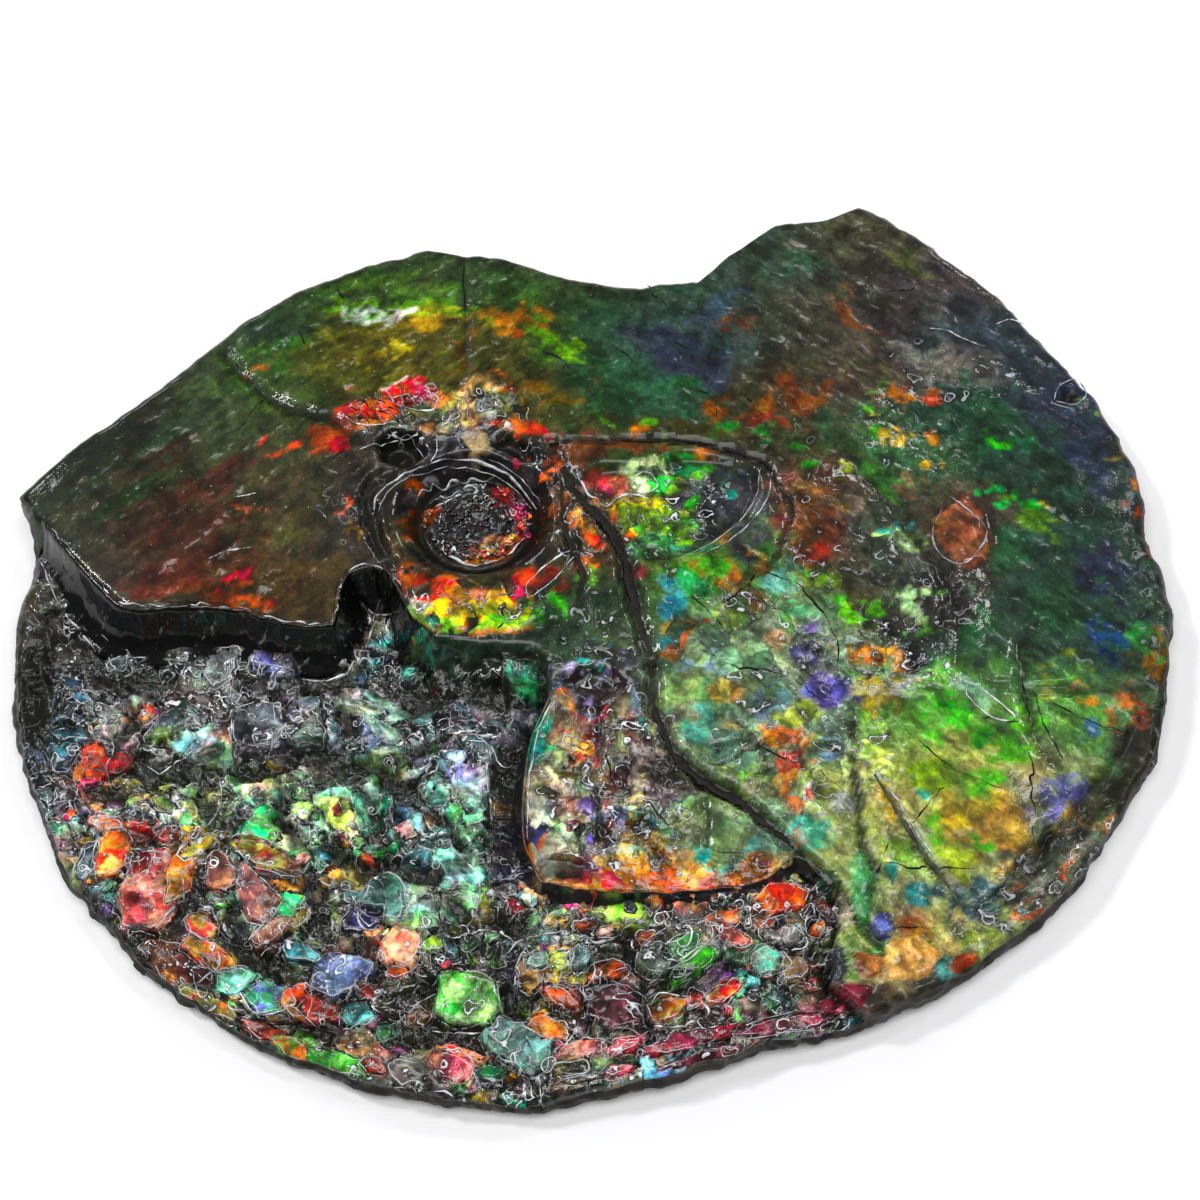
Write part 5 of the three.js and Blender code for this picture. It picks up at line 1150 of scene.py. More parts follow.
def body_shades(x, y, hollow, edge):
    """Colours of the body: paint, darkened by painted shade in hollows, cracks and crevices; the
    second colour is the paint a few millimetres away, so the two mix as neighbouring tones do.
    Cells and large flakes have their own. The marks are painted shade (of hollows and grooves),
    crust, coat and mosaic; the form is 1 at a border, 0 at 2 mm off."""
    first = paint(x, y)
    second = paint(*swayed(x, y, 2.6, 3.2, 61))
    crust = crust_amount(x, y)
    loose = looseness(x, y)
    cell, cell_b, gap = cell_tones(x, y, first)
    first = first + (cell - first) * loose[..., None]
    second = second + (cell_b - second) * loose[..., None]
    flake, flake_b, depth, covered = flake_tones(x, y)
    first, second = np.where(covered[..., None], flake, first), np.where(covered[..., None], flake_b, second)
    gap = np.where(loose > 0.5, np.where(covered, depth, gap), 2.0)
    # Painted shade: dark in the relief's hollows and along the cracks and crevices.
    dark = np.maximum(np.clip(hollow / 0.6, 0, 1), grooves(x, y)[1] * (1 - 0.85 * covered))
    crust = np.where(covered, np.minimum(crust, 0.55), crust)
    value = 1 + (0.08 + 0.25 * crust) * rough(x, y, 1.2, 63) + 0.8 * loose * rough(x, y, 4.5, 65)
    # Painted shade: darker still in the relief's hollows.
    value = np.clip(value, 0.25, 1.9) * (1 - 0.6 * np.clip(hollow / 0.45, 0, 1))
    value = value * (0.75 + 0.25 * ease(edge / 0.6))
    first, second = np.clip(first * value[..., None], 0, 1), np.clip(second * value[..., None], 0, 1)
    mosaic = mosaic_amount(x, y) * (1 - 0.6 * covered)
    coat = (0.35 + 0.65 * crust) * (1 - 0.75 * ease((x - 45) / 8)) * (1 - 0.7 * dark)
    marks = np.stack([dark, crust, coat, mosaic], -1)
    form = np.stack([np.clip(1 - gap / 2, 0, 1), 0 * gap, 0 * gap], -1)
    return {"tint": first, "tint_b": second, "marks": marks, "form": form}


def body_rings(x, y, z, steps):
    """Points and faces of the body: the grid, the laminated sides below its rim in rings drawn in
    under the belly, and the flat underside closed by a fan at its middle."""
    rim = boundary(steps)
    rim_x, rim_y, rim_z = x.ravel()[rim], y.ravel()[rim], z.ravel()[rim]
    points = [np.stack([x, y, z], -1).reshape(-1, 3)]
    for level, share in zip(SIDE_LEVELS, np.interp(SIDE_LEVELS, SIDE_HEIGHTS, SIDE_SHARES)):
        layers = 0.0045 * waves(rim_x + 40 * level, rim_y, 5.0, 71)
        layers = layers + 0.004 * waves(rim_x, rim_z * 9 * level, 1.0, 72)
        grow = (share + layers * (level > 0)) / SIDE_SHARES[-1]
        points.append(np.stack([rim_x * grow, rim_y * grow, level * rim_z], -1))
    for share in BELLY_SHARES:
        points.append(np.stack([rim_x * share, rim_y * share, 0 * rim_z], -1))
    points.append(np.zeros((1, 3)))
    count = len(rim)
    i, j = np.meshgrid(np.arange(steps - 1), np.arange(steps - 1), indexing="ij")
    corner = (i * steps + j).ravel()
    top = np.stack([corner, corner + steps, corner + steps + 1, corner + 1], -1)
    rings = [rim] + [steps * steps + k * count + np.arange(count) for k in range(len(points) - 2)]
    sides = [np.stack([upper, lower, np.roll(lower, -1), np.roll(upper, -1)], -1)
             for upper, lower in zip(rings[:-1], rings[1:])]
    middle = steps * steps + (len(points) - 2) * count
    fan = np.stack([rings[-1], np.full(count, middle), np.roll(rings[-1], -1)], -1)
    return np.concatenate(points), [top, *sides, fan]


def side_shades(lower):
    """Colours of the rim and the underside: thin dark and light layers."""
    strata = 0.5 + 0.5 * waves(lower[:, 0] * 0.15 + lower[:, 1] * 0.15, lower[:, 2], 0.5, 73)
    dark, light = [linear(shade) for shade in SIDE_SHADES]
    tint = dark + (light - dark) * strata[:, None]
    marks = np.broadcast_to(QUIET_MARKS, (len(lower), 4))
    return {"tint": tint, "tint_b": tint * 0.5, "marks": marks, "form": np.zeros((len(lower), 3))}


def body_piece(settings):
    """The whole fossil as one closed skin: the relief over the disc grid, its lip rounded down, and
    the sides and underside."""
    steps = settings.grid_steps
    x, y, edge = disc_grid(steps)
    z = relief(x, y) - LIP_DROP * np.clip(1 - edge * MM / settings.lip, 0, 1) ** 2
    points, faces = body_rings(x, y, z, steps)
    shades = body_shades(x, y, cavity(z, 3), edge)
    for layer, values in side_shades(points[steps * steps:]).items():
        shades[layer] = np.concatenate([shades[layer].reshape(-1, values.shape[1]), values])
    put_mesh("fossil_body", points, faces, shades, shell_material("fossil_body_finish"))


# ---- Flakes ------------------------------------------------------------------------------

PLATE_LEVELS = ((0.96, -0.9), (1.01, 0.6), (0.9, 1.0), (0.5, 1.05))  # share of the outline, of the lift
# Painted shade low on a plate's side and a painted highlight on its edge, at each level.
PLATE_PAINTED_LIGHT_BY_LEVEL = (0.04, 0.45, 1.1, 1.0)  # brightness at each of those levels
# Painted shade at each level: full at the plate's root, some on its side.
PLATE_PAINTED_SHADE = (1.0, 0.35, 0.0, 0.0)
CHIP_FIELD = ((-61, 122), (-53, 106))  # where the field of small flakes starts in X and Y, and its size
FRONT_FROM, FRONT_SOFT = -20, 6  # Y from which the bed's bright front begins, and the width it takes


def plate_rings(centres, edges, lifts, lean, lump, seed):
    """Plates from their outlines: a root ring sunk in the fossil, a short side, and a top drawn in
    ring by ring that leans and is slightly lumpy."""
    base = relief(centres[:, 0], centres[:, 1])
    rings = []
    for scale, level in PLATE_LEVELS:
        place = centres[:, None] + edges * scale
        z = base[:, None] + (level * lifts[:, None] if level > 0 else level)
        z = z + (level > 0) * scale * np.sum(edges * lean[:, None], axis=2)
        z = z + (level > 0) * lump * rough(place[..., 0], place[..., 1], 1.4, seed)
        rings.append(np.concatenate([place, z[..., None]], -1))
    rings = np.stack(rings, axis=1)
    last = rings[:, -1].mean(axis=1)
    last[:, 2] += 0.06 * lifts
    return rings, rings[:, 0].mean(axis=1), last


def flake_shades(rings, tint, tint_b, seed):
    """A flake's colours: its two tones run across it, with painted shade low on its sides and a
    painted highlight on its edge.
    """
    rng = np.random.default_rng(seed)
    count, levels, sides, _ = rings.shape
    heading = rng.uniform(0, 2 * math.pi, count)
    angle = 2 * math.pi * np.arange(sides) / sides
    run = 0.5 + 0.5 * np.cos(angle[None] - heading[:, None])
    value = np.array(PLATE_PAINTED_LIGHT_BY_LEVEL)[:, None] * (1 + 0.22 * rng.standard_normal((count, levels, sides)))
    mix = tint[:, None, None] + (tint_b - tint)[:, None, None] * run[:, None, :, None]
    shades = np.clip(mix * value[..., None], 0, 1)
    other = np.clip(tint_b[:, None, None] * value[..., None], 0, 1)
    marks = np.zeros((count, levels, sides, 4)) + FLAKE_MARKS
    marks[..., 0] = np.array(PLATE_PAINTED_SHADE)[:, None]
    calm = np.tile(FLAKE_MARKS, (count, 1))
    return {
        "tint": colours_of(shades, shades[:, 0, 0], tint),
        "tint_b": colours_of(other, other[:, 0, 0], tint_b),
        "marks": colours_of(marks, calm, calm),
    }


def on_bed(x, y, margin):
    """True on the crushed bed, at least the margin within the rim."""
    return (wall_share(x, y) < 0.02) & (from_rim(x, y) > margin)


def crumbs(rng):
    """Places, half sizes and shades of the crumbs in the coil."""
    places, halves, shades = [], [], []
    for radius, spread, first, last, count, size, shade in CRUMBS:
        angle = np.radians(rng.uniform(first, last, count))
        reach = radius + spread * rng.uniform(-1, 1, count)
        places.append(np.stack([COIL_CENTRE[0] + reach * np.cos(angle),
                                COIL_CENTRE[1] + COIL_STRETCH * reach * np.sin(angle)], -1))
        halves.append(size * rng.uniform(0.5, 1.2, (count, 2)))
        shades.append(linear(shade) * rng.uniform(0.5, 1.3, (count, 1)))
    return np.concatenate(places), np.concatenate(halves), np.concatenate(shades)


def scattered(space, rng):
    """Places of the small flakes, one to a square of the spacing over the bed, and thinly over the
    crushed parts of the shell layer."""
    (left, width), (front, depth) = CHIP_FIELD
    i, j = np.meshgrid(np.arange(int(width / space)), np.arange(int(depth / space)), indexing="ij")
    x = (left + space * (i + rng.random(i.shape))).ravel()
    y = (front + space * (j + rng.random(j.shape))).ravel()
    bed_chance = 0.02 + 0.13 * ease((FRONT_FROM - y) / FRONT_SOFT)
    chance = np.where(on_bed(x, y, 0.9), bed_chance, 0.1 * broken_zone(x, y) - 0.05)
    chance = chance * (grooves(x, y)[1] < 0.1)
    keep = (rng.random(len(x)) < chance) & (flake_cover(x, y)[0] < 0) & (coil_radius(x, y) > 8.5)
    return x[keep], y[keep]


def chip_piece(settings):
    """The small flakes on the bed and the crushed shell, and the crumbs in the coil."""
    rng = np.random.default_rng(91)
    x, y = scattered(settings.spacing / MM, rng)
    count = len(x)
    long = rng.uniform(0.35, 1.0, count)
    halves = np.stack([long, long * rng.uniform(0.4, 0.9, count)], -1)
    local = paint(x + rng.normal(0, 0.5, count), y + rng.normal(0, 0.5, count))
    accent = np.array([linear(shade) for shade in ACCENTS])[rng.integers(len(ACCENTS), size=count)]
    front = ease((FRONT_FROM - y) / FRONT_SOFT)
    share = np.where(rng.random(count) < 0.05 + 0.25 * front, 0.7, 0.08)[:, None]
    value = np.exp(rng.normal(-0.3, 0.45, count))[:, None]
    places, sizes, shades = crumbs(rng)
    centres, halves = np.concatenate([np.stack([x, y], -1), places]), np.concatenate([halves, sizes])
    tint = np.clip(np.concatenate([(local + (accent - local) * share) * value, shades]), 0.004, 0.9)
    count = len(centres)
    tint_b = np.clip(tint * rng.uniform(0.3, 1.6, (count, 3)), 0, 1)
    edges = flake_edges(halves, rng.uniform(0, math.pi, count), 6, rng)
    lifts = rng.uniform(0.1, 0.35, count)
    rings, first, last = plate_rings(centres, edges, lifts, rng.normal(0, 0.16, (count, 2)), 0.05, 92)
    points, faces = skins(rings, first, last)
    shades = flake_shades(rings, tint, tint_b, 93)
    put_mesh("small_flakes", points, faces, shades, shell_material("small_flake_finish"))


# ---- Lines ---------------------------------------------------------------------------------

def line_shades(rings, shade, seed):
    """One shade for all lines, each at its own brightness."""
    rng = np.random.default_rng(seed)
    value = rng.uniform(0.45, 1.1, len(rings))[:, None, None, None]
    tone = linear(shade) * value * np.ones(rings.shape)
    calm = tone[:, 0, 0]
    return colours_of(tone, calm, calm).reshape(-1, 3)


def taper(count, power):
    """Shares of a line's radius at its points: a half wave to a power, thin at both ends."""
    return np.sin(math.pi * (np.arange(count) + 0.6) / (count + 0.2)) ** power


def laid(x, y, radius, rng):
    """Resin lines from their places in plan: laid on the relief, thin at both ends, none of them
    over the rim."""
    kept = from_rim(x, y).min(axis=1) > 0.2
    x, y = x[kept], y[kept]
    paths = np.stack([x, y, relief(x, y) + 0.03], -1)
    return paths, radius * taper(x.shape[1], 0.6) * rng.uniform(0.6, 1.3, (len(x), 1))


def flake_borders(share, radius, rng):
    """Pale resin lines, their paleness also a painted glint, that follow the large flakes' outlines
    for part of the way round.
    """
    row = np.nonzero(wall_share(FLAKE_PLACES[:, 0], FLAKE_PLACES[:, 1]) < 0.5)[0][:, None]
    turn = rng.random(row.shape) + share * np.linspace(0, 1, 26)
    corner = FLAKE_CORNERS * (turn % 1.0)
    k, part = corner.astype(int), (corner % 1.0)[..., None]
    place = FLAKE_OUTLINES[row, k] * (1 - part) + FLAKE_OUTLINES[row, (k + 1) % FLAKE_CORNERS] * part
    return laid(*swayed(place[..., 0], place[..., 1], 0.16, 1.1, 105), radius, rng)


def curls(count, steps, radius, rng):
    """Short curly pale resin lines, their paleness also a painted glint, scattered over the crushed
    bed: each heading is the last one plus a turn that itself changes slowly."""
    x, y = rng.uniform(-60, 30, 6 * count), rng.uniform(-52, -2, 6 * count)
    keep = on_bed(x, y, 2.0) & (grooves(x, y)[1] < 0.1)
    x, y = x[keep][:count, None], y[keep][:count, None]
    turn = np.cumsum(rng.normal(0, 0.22, (len(x), steps)), axis=1) + rng.normal(0, 0.25, (len(x), 1))
    heading = rng.uniform(0, 2 * math.pi, (len(x), 1)) + np.cumsum(turn, axis=1)
    stride = rng.uniform(0.16, 0.34, (len(x), 1))
    run_x, run_y = [np.cumsum(stride * side(heading), axis=1) for side in (np.cos, np.sin)]
    return laid(x + run_x, y + run_y, radius, rng)


def wobbled(plan, amount, size, seeds):
    """A path's points, each moved by waves."""
    return plan + amount * np.stack([waves(*plan.T, size, seed) for seed in seeds], -1)


def named_paths(rows, count, lift, wobble, seed):
    """Listed lines laid on the relief: rounded, evenly spaced, with a slight wobble."""
    paths, radii = [], []
    for k, (width, points) in enumerate(rows):
        plan = smooth_path(points, count)
        plan = wobbled(plan, wobble, 0.9, (seed + k, seed + k + 50))
        z = relief(plan[:, 0], plan[:, 1]) + lift
        paths.append(np.column_stack([plan, z]))
        beads = np.clip(0.75 + 0.9 * waves(np.arange(count) * 1.0, np.full(count, k), 3.0, seed), 0.12, 1.5)
        radii.append(width / 2 * taper(count, 0.4) * beads)
    return np.array(paths), np.array(radii)


def put_tubes(name, batches, shade, material, seed):
    """One piece from batches of tubes."""
    points, faces, tints, passed = [], [], [], 0
    for paths, radii in batches:
        rings, first, last = tubes(paths, radii)
        batch, blocks = skins(rings, first, last)
        points.append(batch)
        faces += [block + passed for block in blocks]
        passed += len(batch)
        tints.append(line_shades(rings, shade, seed))
    put_mesh(name, np.concatenate(points), faces, {"tint": np.concatenate(tints)}, material)


def resin_glint_piece(settings):
    """Raised lines of pale resin around the flakes and along the edges; their paleness is also a
    painted glint.
    """
    rng = np.random.default_rng(101)
    radius = settings.resin_radius / MM
    lip = BROKEN_EDGE[:, :2] + 0.12 * (BROKEN_EDGE[:, :2] - BROKEN_EDGE[:, 2:])
    batches = [
        flake_borders(0.8, radius, rng),
        curls(110, 16, radius, rng),
        named_paths(RESIN_GLINT_PATHS, 48, 0.05, 0.1, 102),
        # Pale resin beads along the broken wall's top edge, their paleness also a painted glint.
        named_paths([(0.22, lip[:16])], 240, 0.02, 0.3, 104),
    ]
    put_tubes("resin_glint_lines", batches, settings_shade(settings.resin_glint_colour), resin_glint_material(), 103)


def settings_shade(colour):
    """Six hexadecimal digits of a linear colour, as linear reads them."""
    parts = [c * 12.92 if c <= 0.0031308 else 1.055 * c ** (1 / 2.4) - 0.055 for c in colour]
    return "".join(f"{round(255 * min(max(part, 0), 1)):02x}" for part in parts)


def hairline_piece(settings):
    """Fine dark cracks, as thin bars sunk into the shell layer."""
    rows = [(settings.hairline_width / MM, path) for path in HAIRLINES]
    batch = named_paths(rows, 30, -0.02, 0.25, 111)
    put_tubes("hairline_cracks", [batch], "0a0a08", crack_material("hairline_finish"), 112)


def crack_piece(settings):
    """Dark matrix that fills the wide cracks: flat bars along the paths, narrow at the ends, with
    ragged sides; each cross-section is a flattened oval."""
    count, sides = 110, 10
    angle = 2 * math.pi * np.arange(sides) / sides
    rings, shades = [], []
    for k, (_, depth, points, *filling) in enumerate(CRACKS):
        if not filling:
            continue
        width, shade = filling
        plan = wobbled(smooth_path(points, count), 0.14, 1.4, (120 + k, 160 + k))
        way = np.gradient(plan, axis=0)
        way /= np.hypot(way[:, 0], way[:, 1])[:, None]
        across = np.stack([-way[:, 1], way[:, 0]], -1)
        t = np.linspace(0, 1, count)
        half = 0.3 + 0.7 * np.sin(math.pi * np.clip(t, 0.04, 0.96)) ** 0.5
        half = width * settings.crack_share * half
        side = np.sign(np.cos(angle)) * 9
        half = half[:, None] * (1 + 0.55 * rough(plan[:, :1] + side, plan[:, 1:], 1.2, 170 + k))
        place = plan[:, None] + across[:, None] * (half * np.cos(angle))[..., None]
        level = ground(plan[:, 0], plan[:, 1]) - 0.45 * depth
        lumps = rough(place[..., 0], place[..., 1], 0.8, 180) * (np.sin(angle) > 0)
        z = level[:, None] + 0.12 * np.sin(angle) + 0.1 * lumps
        rings.append(np.concatenate([place, z[..., None]], -1))
        shades.append(np.tile(linear(shade), (count * sides + 2, 1)))
    rings = np.array(rings)[:, :, ::-1]
    first, last = rings[:, 0].mean(axis=1), rings[:, -1].mean(axis=1)
    points, faces = skins(rings, first, last)
    tint = np.concatenate(shades) * (1 + 0.5 * rough(points[:, 0], points[:, 1], 1.1, 190))[:, None]
    put_mesh("crack_fill", points, faces, {"tint": np.clip(tint, 0, 1)}, crack_material("crack_fill_finish"))


# ---- The broken wall -----------------------------------------------------------------------

# Runs of the broken edge: name, first and last point, points along it, shade.
WALLS = [("broken_wall", 0, 16, 300, "060606"), ("panel_wall", 19, 30, 260, "17171b")]
WALL_PROFILE = [  # share of the way from top edge to foot, share of the height, lift
    (-0.2, 1.0, 0.02), (-0.03, 1.0, 0.1), (0.04, 1.0, -0.02), (0.1, 0.86, 0), (0.2, 0.66, 0), (0.32, 0.47, 0),
    (0.5, 0.28, 0), (0.75, 0.1, 0), (1.05, 0.0, -0.1), (1.2, 0.0, -0.5), (1.0, 0.0, -1.0), (0.2, 0.0, -0.9),
    (-0.2, 0.6, -0.6),
]


def wall_pieces():
    """The broken edge of the shell layer: a profile carried along the top edge and the foot."""
    for name, start, end, count, shade in WALLS:
        path = smooth_path(BROKEN_EDGE[start:end], count)
        jag = 0.16 * rough(path[:, 0], path[:, 1], 1.6, 131)[:, None]
        top, foot = path[:, :2] + jag * [[0.3, 1.0]], path[:, 2:]
        high = dome_height(top[:, 0], top[:, 1])
        low = bed_height(foot[:, 0], foot[:, 1])
        rings = []
        for share, level, lift in WALL_PROFILE:
            place = top + (foot - top) * share
            z = low + (high - low) * level + lift
            lumps = rough(path[:, 0] * 1.5, path[:, 1] + 6 * share, 2.2, 132) * (0.05 < share < 1.1)
            rings.append(np.column_stack([place + (foot - top) * 0.03 * lumps[:, None], z]))
        rings = np.array(rings).transpose(1, 0, 2)[None]
        points, faces = skins(rings, rings[:, 0].mean(axis=1), rings[:, -1].mean(axis=1))
        face = np.tile([0, 0.35] + [1] * (len(WALL_PROFILE) - 2), count)
        face = np.append(face, [1, 1])[:, None]
        tint = paint(points[:, 0], points[:, 1]) * (1 - face) + linear(shade) * face
        marks = np.tile(WALL_MARKS, (len(points), 1))
        put_mesh(name, points, faces, {"tint": tint, "tint_b": 0.6 * tint, "marks": marks},
                 shell_material(name + "_finish"))


# ---- Finishes ----------------------------------------------------------------------------

# Pale of the painted highlights and sparkle, and of the scratches.
PAINTED_GLINT_AND_SCRATCH_PALE = (0.88, 0.9, 0.94, 1.0)
# Dark of the seams between cells and of the painted shade in crevices.
SEAM_DARK_AND_CREVICE_SHADE = (0.006, 0.006, 0.006, 1.0)
# Colour of the painted shade in hollows, cracks and crevices.
HOLLOW_PAINTED_SHADE = (0.006, 0.006, 0.003, 1.0)
MATRIX_DARK = (0.012, 0.01, 0.008, 1.0)
DULL = 0.15  # specular level of stone


class Finish:
    """A material in the making. Each method adds a node and hands back its outputs, or its one
    output; a node's inputs are values or outputs of other nodes."""

    def __init__(self, name):
        self.material = bpy.data.materials.new(name)
        self.material.use_nodes = True
        self.tree = self.material.node_tree
        self.tree.nodes.clear()
        self.where = self.add("TexCoord")["Object"]

    def add(self, kind, inputs=None, **values):
        node = self.tree.nodes.new("ShaderNode" + kind)
        for key, value in values.items():
            setattr(node, key, value)
        for key, value in (inputs or {}).items():
            if isinstance(value, bpy.types.NodeSocket):
                self.tree.links.new(value, node.inputs[key])
            else:
                node.inputs[key].default_value = value
        return node.outputs

    def attribute(self, name):
        return self.add("Attribute", attribute_name=name)

    def parts(self, colour):
        return self.add("SeparateColor", {"Color": colour})

    def noise(self, vector, scale, detail=2.0, roughness=0.5):
        inputs = {"Vector": vector, "Scale": scale, "Detail": detail, "Roughness": roughness}
        return self.add("TexNoise", inputs)

    def maths(self, operation, *values):
        return self.add("Math", dict(enumerate(values)), operation=operation)[0]

    def times(self, first, *others):
        """All the values multiplied."""
        for other in others:
            first = self.maths("MULTIPLY", first, other)
        return first

    def vector(self, operation, *values):
        return self.add("VectorMath", dict(enumerate(values)), operation=operation)[0]

    def ramp(self, value, low, high, out_low=0.0, out_high=1.0, smooth=False):
        """Runs from out_low to out_high as the value goes from low to high."""
        inputs = {"Value": value, "From Min": low, "From Max": high, "To Min": out_low, "To Max": out_high}
        return self.add("MapRange", inputs, interpolation_type="SMOOTHSTEP" if smooth else "LINEAR")[0]

    def between(self, factor, first, second):
        """A number part of the way from the first to the second."""
        return self.add("Mix", {"Factor": factor, "A": first, "B": second})[0]

    def blend(self, factor, first, second, kind="MIX"):
        """A colour part of the way from the first to the second."""
        inputs = {"Factor": factor, "A": first, "B": second}
        return self.add("Mix", inputs, data_type="RGBA", blend_type=kind)[2]

    def bump(self, height, distance, strength=1.0):
        return self.add("Bump", {"Strength": strength, "Distance": distance, "Height": height})[0]

    def shader(self, inputs):
        """The finished material."""
        self.add("OutputMaterial", {"Surface": self.add("BsdfPrincipled", inputs)[0]})
        return self.material


class ShellFinish(Finish):
    """Shell under a clear coat. Two tones are parted by noise where the shell is whole and by bent
    cells where it is a mosaic, each cell with its own hue and value. Crust adds strong painted light
    and shade that follow its wrinkles, painted highlights as thin pale curls at level lines of the
    noise, and a rippled coat."""

    def __init__(self, name, settings):
        super().__init__(name)
        self.settings = settings
        marks = self.attribute("marks")
        shares = self.parts(marks["Color"])
        # hollow is the painted shade of hollows, cracks and crevices.
        self.hollow, self.crust, self.coat = shares["Red"], shares["Green"], shares["Blue"]
        self.mosaic = marks["Alpha"]
        form = self.parts(self.attribute("form")["Color"])
        self.border = self.maths("MULTIPLY_ADD", form["Red"], -2.0, 2.0)
        swirl = self.noise(self.where, 420.0)
        self.swirl, self.veils = swirl["Fac"], self.parts(swirl["Color"])
        self.bent = self.vector("MULTIPLY_ADD", swirl["Color"], (0.0018, 0.0018, 0.0018), self.where)
        self.curls = self.noise(self.bent, settings.curl_scale, 1.0)["Fac"]
        self.fine = self.noise(self.bent, 1050.0, 3.0, 0.65)["Fac"]
        self.grain = self.noise(self.where, 2400.0, 2.0, 0.7)["Fac"]
        cells = {"Vector": self.bent, "Scale": settings.cell_scale}
        self.chance = self.parts(self.add("TexVoronoi", cells)["Color"])
        self.seam = self.add("TexVoronoi", cells, feature="DISTANCE_TO_EDGE")["Distance"]
        self.streak = self.drawn(self.times(self.chance["Red"], 3.1), 450.0, 1500.0, 2.0)
        self.fold, self.small_fold = self.folded(self.curls, 3.0), self.folded(self.streak, 2.5)
        strokes = [self.drawn(math.radians(angle), 230.0, 1150.0, 3.0) for angle in (-40, 35)]
        side = self.ramp(self.add("SeparateXYZ", {"Vector": self.where})["X"], -0.012, 0.018)
        self.brush = self.between(side, *strokes)

    def drawn(self, angle, along, across, detail):
        """Noise drawn out into streaks: turned about Z, and finer across them than along."""
        turned = self.add("VectorRotate", {"Vector": self.bent, "Angle": angle}, rotation_type="Z_AXIS")[0]
        return self.noise(self.vector("MULTIPLY", turned, (along, across, along)), 1.0, detail)["Fac"]

    def folded(self, value, times):
        """Distance from the value's level lines, zero on each."""
        return self.maths("PINGPONG", self.times(value, times), 0.5)

    def value(self):
        """Brightness: that of the mosaic's cell, of the calm shell's brush strokes or the crust's
        curls and streaks, and of the grain. On crust it is painted light and shade: brighter where the
        curls and streaks raise the bump, darker beside the pale curls."""
        apart = self.maths("SUBTRACT", self.chance["Blue"], 0.5)
        cell = self.maths("MULTIPLY_ADD", apart, self.times(self.mosaic, 1.5), 1.0)
        calm = self.times(self.ramp(self.curls, 0.34, 0.66, 0.55, 1.42),
                          self.ramp(self.fine, 0.35, 0.65, 0.65, 1.35),
                          self.ramp(self.brush, 0.36, 0.64, 0.62, 1.38))
        # Painted light and shade on crust: brighter on the raised curls and streaks, darker beside pale
        # curls.
        crust = self.times(self.ramp(self.curls, 0.36, 0.62, 0.25, 2.2),
                           self.ramp(self.fine, 0.38, 0.62, 0.6, 1.4),
                           self.ramp(self.fold, 0.06, 0.13, 0.2, 1.05),
                           self.ramp(self.streak, 0.38, 0.62, 0.5, 1.7))
        surface = self.between(self.crust, calm, crust)
        return self.times(cell, surface, self.ramp(self.grain, 0.3, 0.7, 0.7, 1.3))

    def tone(self):
        """The two tones and the crust's stains, at the brightness above."""
        part = self.ramp(self.between(self.mosaic, self.swirl, self.chance["Red"]), 0.45, 0.55)
        tone = self.blend(part, self.attribute("tint")["Color"], self.attribute("tint_b")["Color"])
        stain = self.noise(self.bent, 330.0)["Color"]
        stain = self.vector("MULTIPLY_ADD", stain, (3.0, 2.8, 2.6), (-0.5, -0.33, -0.33))
        stain = self.vector("MAXIMUM", stain, (0.2, 0.2, 0.2))
        tone = self.blend(self.ramp(self.crust, 0.5, 1.0, 0.22, 0.7), tone, stain, "MULTIPLY")
        apart = self.maths("SUBTRACT", self.chance["Green"], 0.5)
        hue = self.maths("MULTIPLY_ADD", apart, self.times(self.mosaic, 0.14), 0.5)
        return self.add("HueSaturation", {"Color": tone, "Hue": hue, "Value": self.value(),
                                          "Saturation": self.settings.saturation})[0]

    def lines(self):
        """Painted highlights: pale curls and threads on crust and mosaic, and a pale ring just inside
        each flake's border, standing for glints on the glossy resin.
        """
        curl = self.times(self.ramp(self.fold, 0.015, 0.055, 1.0, 0.0, True),
                          self.ramp(self.swirl, 0.47, 0.53))
        thread = self.times(self.ramp(self.small_fold, 0.0, 0.06, 0.6, 0.0, True),
                            self.ramp(self.veils["Green"], 0.52, 0.57))
        lined = self.maths("MAXIMUM", self.ramp(self.crust, 0.12, 0.6),
                           self.ramp(self.mosaic, 0.3, 0.8, 0.0, 0.5))
        line = self.times(self.maths("MAXIMUM", curl, thread), lined)
        inside = self.maths("MULTIPLY_ADD", self.curls, 0.9, -0.15)
        off = self.maths("ABSOLUTE", self.maths("SUBTRACT", self.border, inside))
        ring = self.times(self.ramp(off, 0.02, 0.07, 1.0, 0.0, True),
                          self.ramp(self.veils["Blue"], 0.44, 0.5),
                          self.ramp(self.crust, 0.45, 0.6, 0.1, 1.0))
        return self.maths("MAXIMUM", line, ring)

    def specks(self):
        """Pale grains, which are also painted sparkle, and pale scratches where there is no crust."""
        scratch = self.times(self.ramp(self.brush, 0.6, 0.68, 0.0, 0.2), self.ramp(self.fine, 0.5, 0.6))
        speck = self.maths("MAXIMUM", self.ramp(self.grain, 0.71, 0.79, 0.0, 0.5), scratch)
        return self.times(speck, self.maths("SUBTRACT", 1.0, self.crust))

    def gaps(self):
        """Dark seams between the mosaic's cells, and painted shade in the crevices round the flakes
        and the crushed bed's cells.
        """
        open_seams = self.times(self.mosaic, self.ramp(self.veils["Red"], 0.44, 0.52, 0.1, 1.0))
        seam = self.times(self.ramp(self.seam, 0.0, 0.05, 0.9, 0.0), open_seams)
        open_by = self.maths("MULTIPLY_ADD", self.fine, 0.9, -0.3)
        crevice_shade = self.ramp(self.maths("SUBTRACT", self.border, open_by), 0.0, 0.12, 1.0, 0.0, True)
        return self.times(self.maths("MAXIMUM", seam, crevice_shade), self.ramp(self.grain, 0.4, 0.55, 0.6, 1.0))

    def colour(self, line):
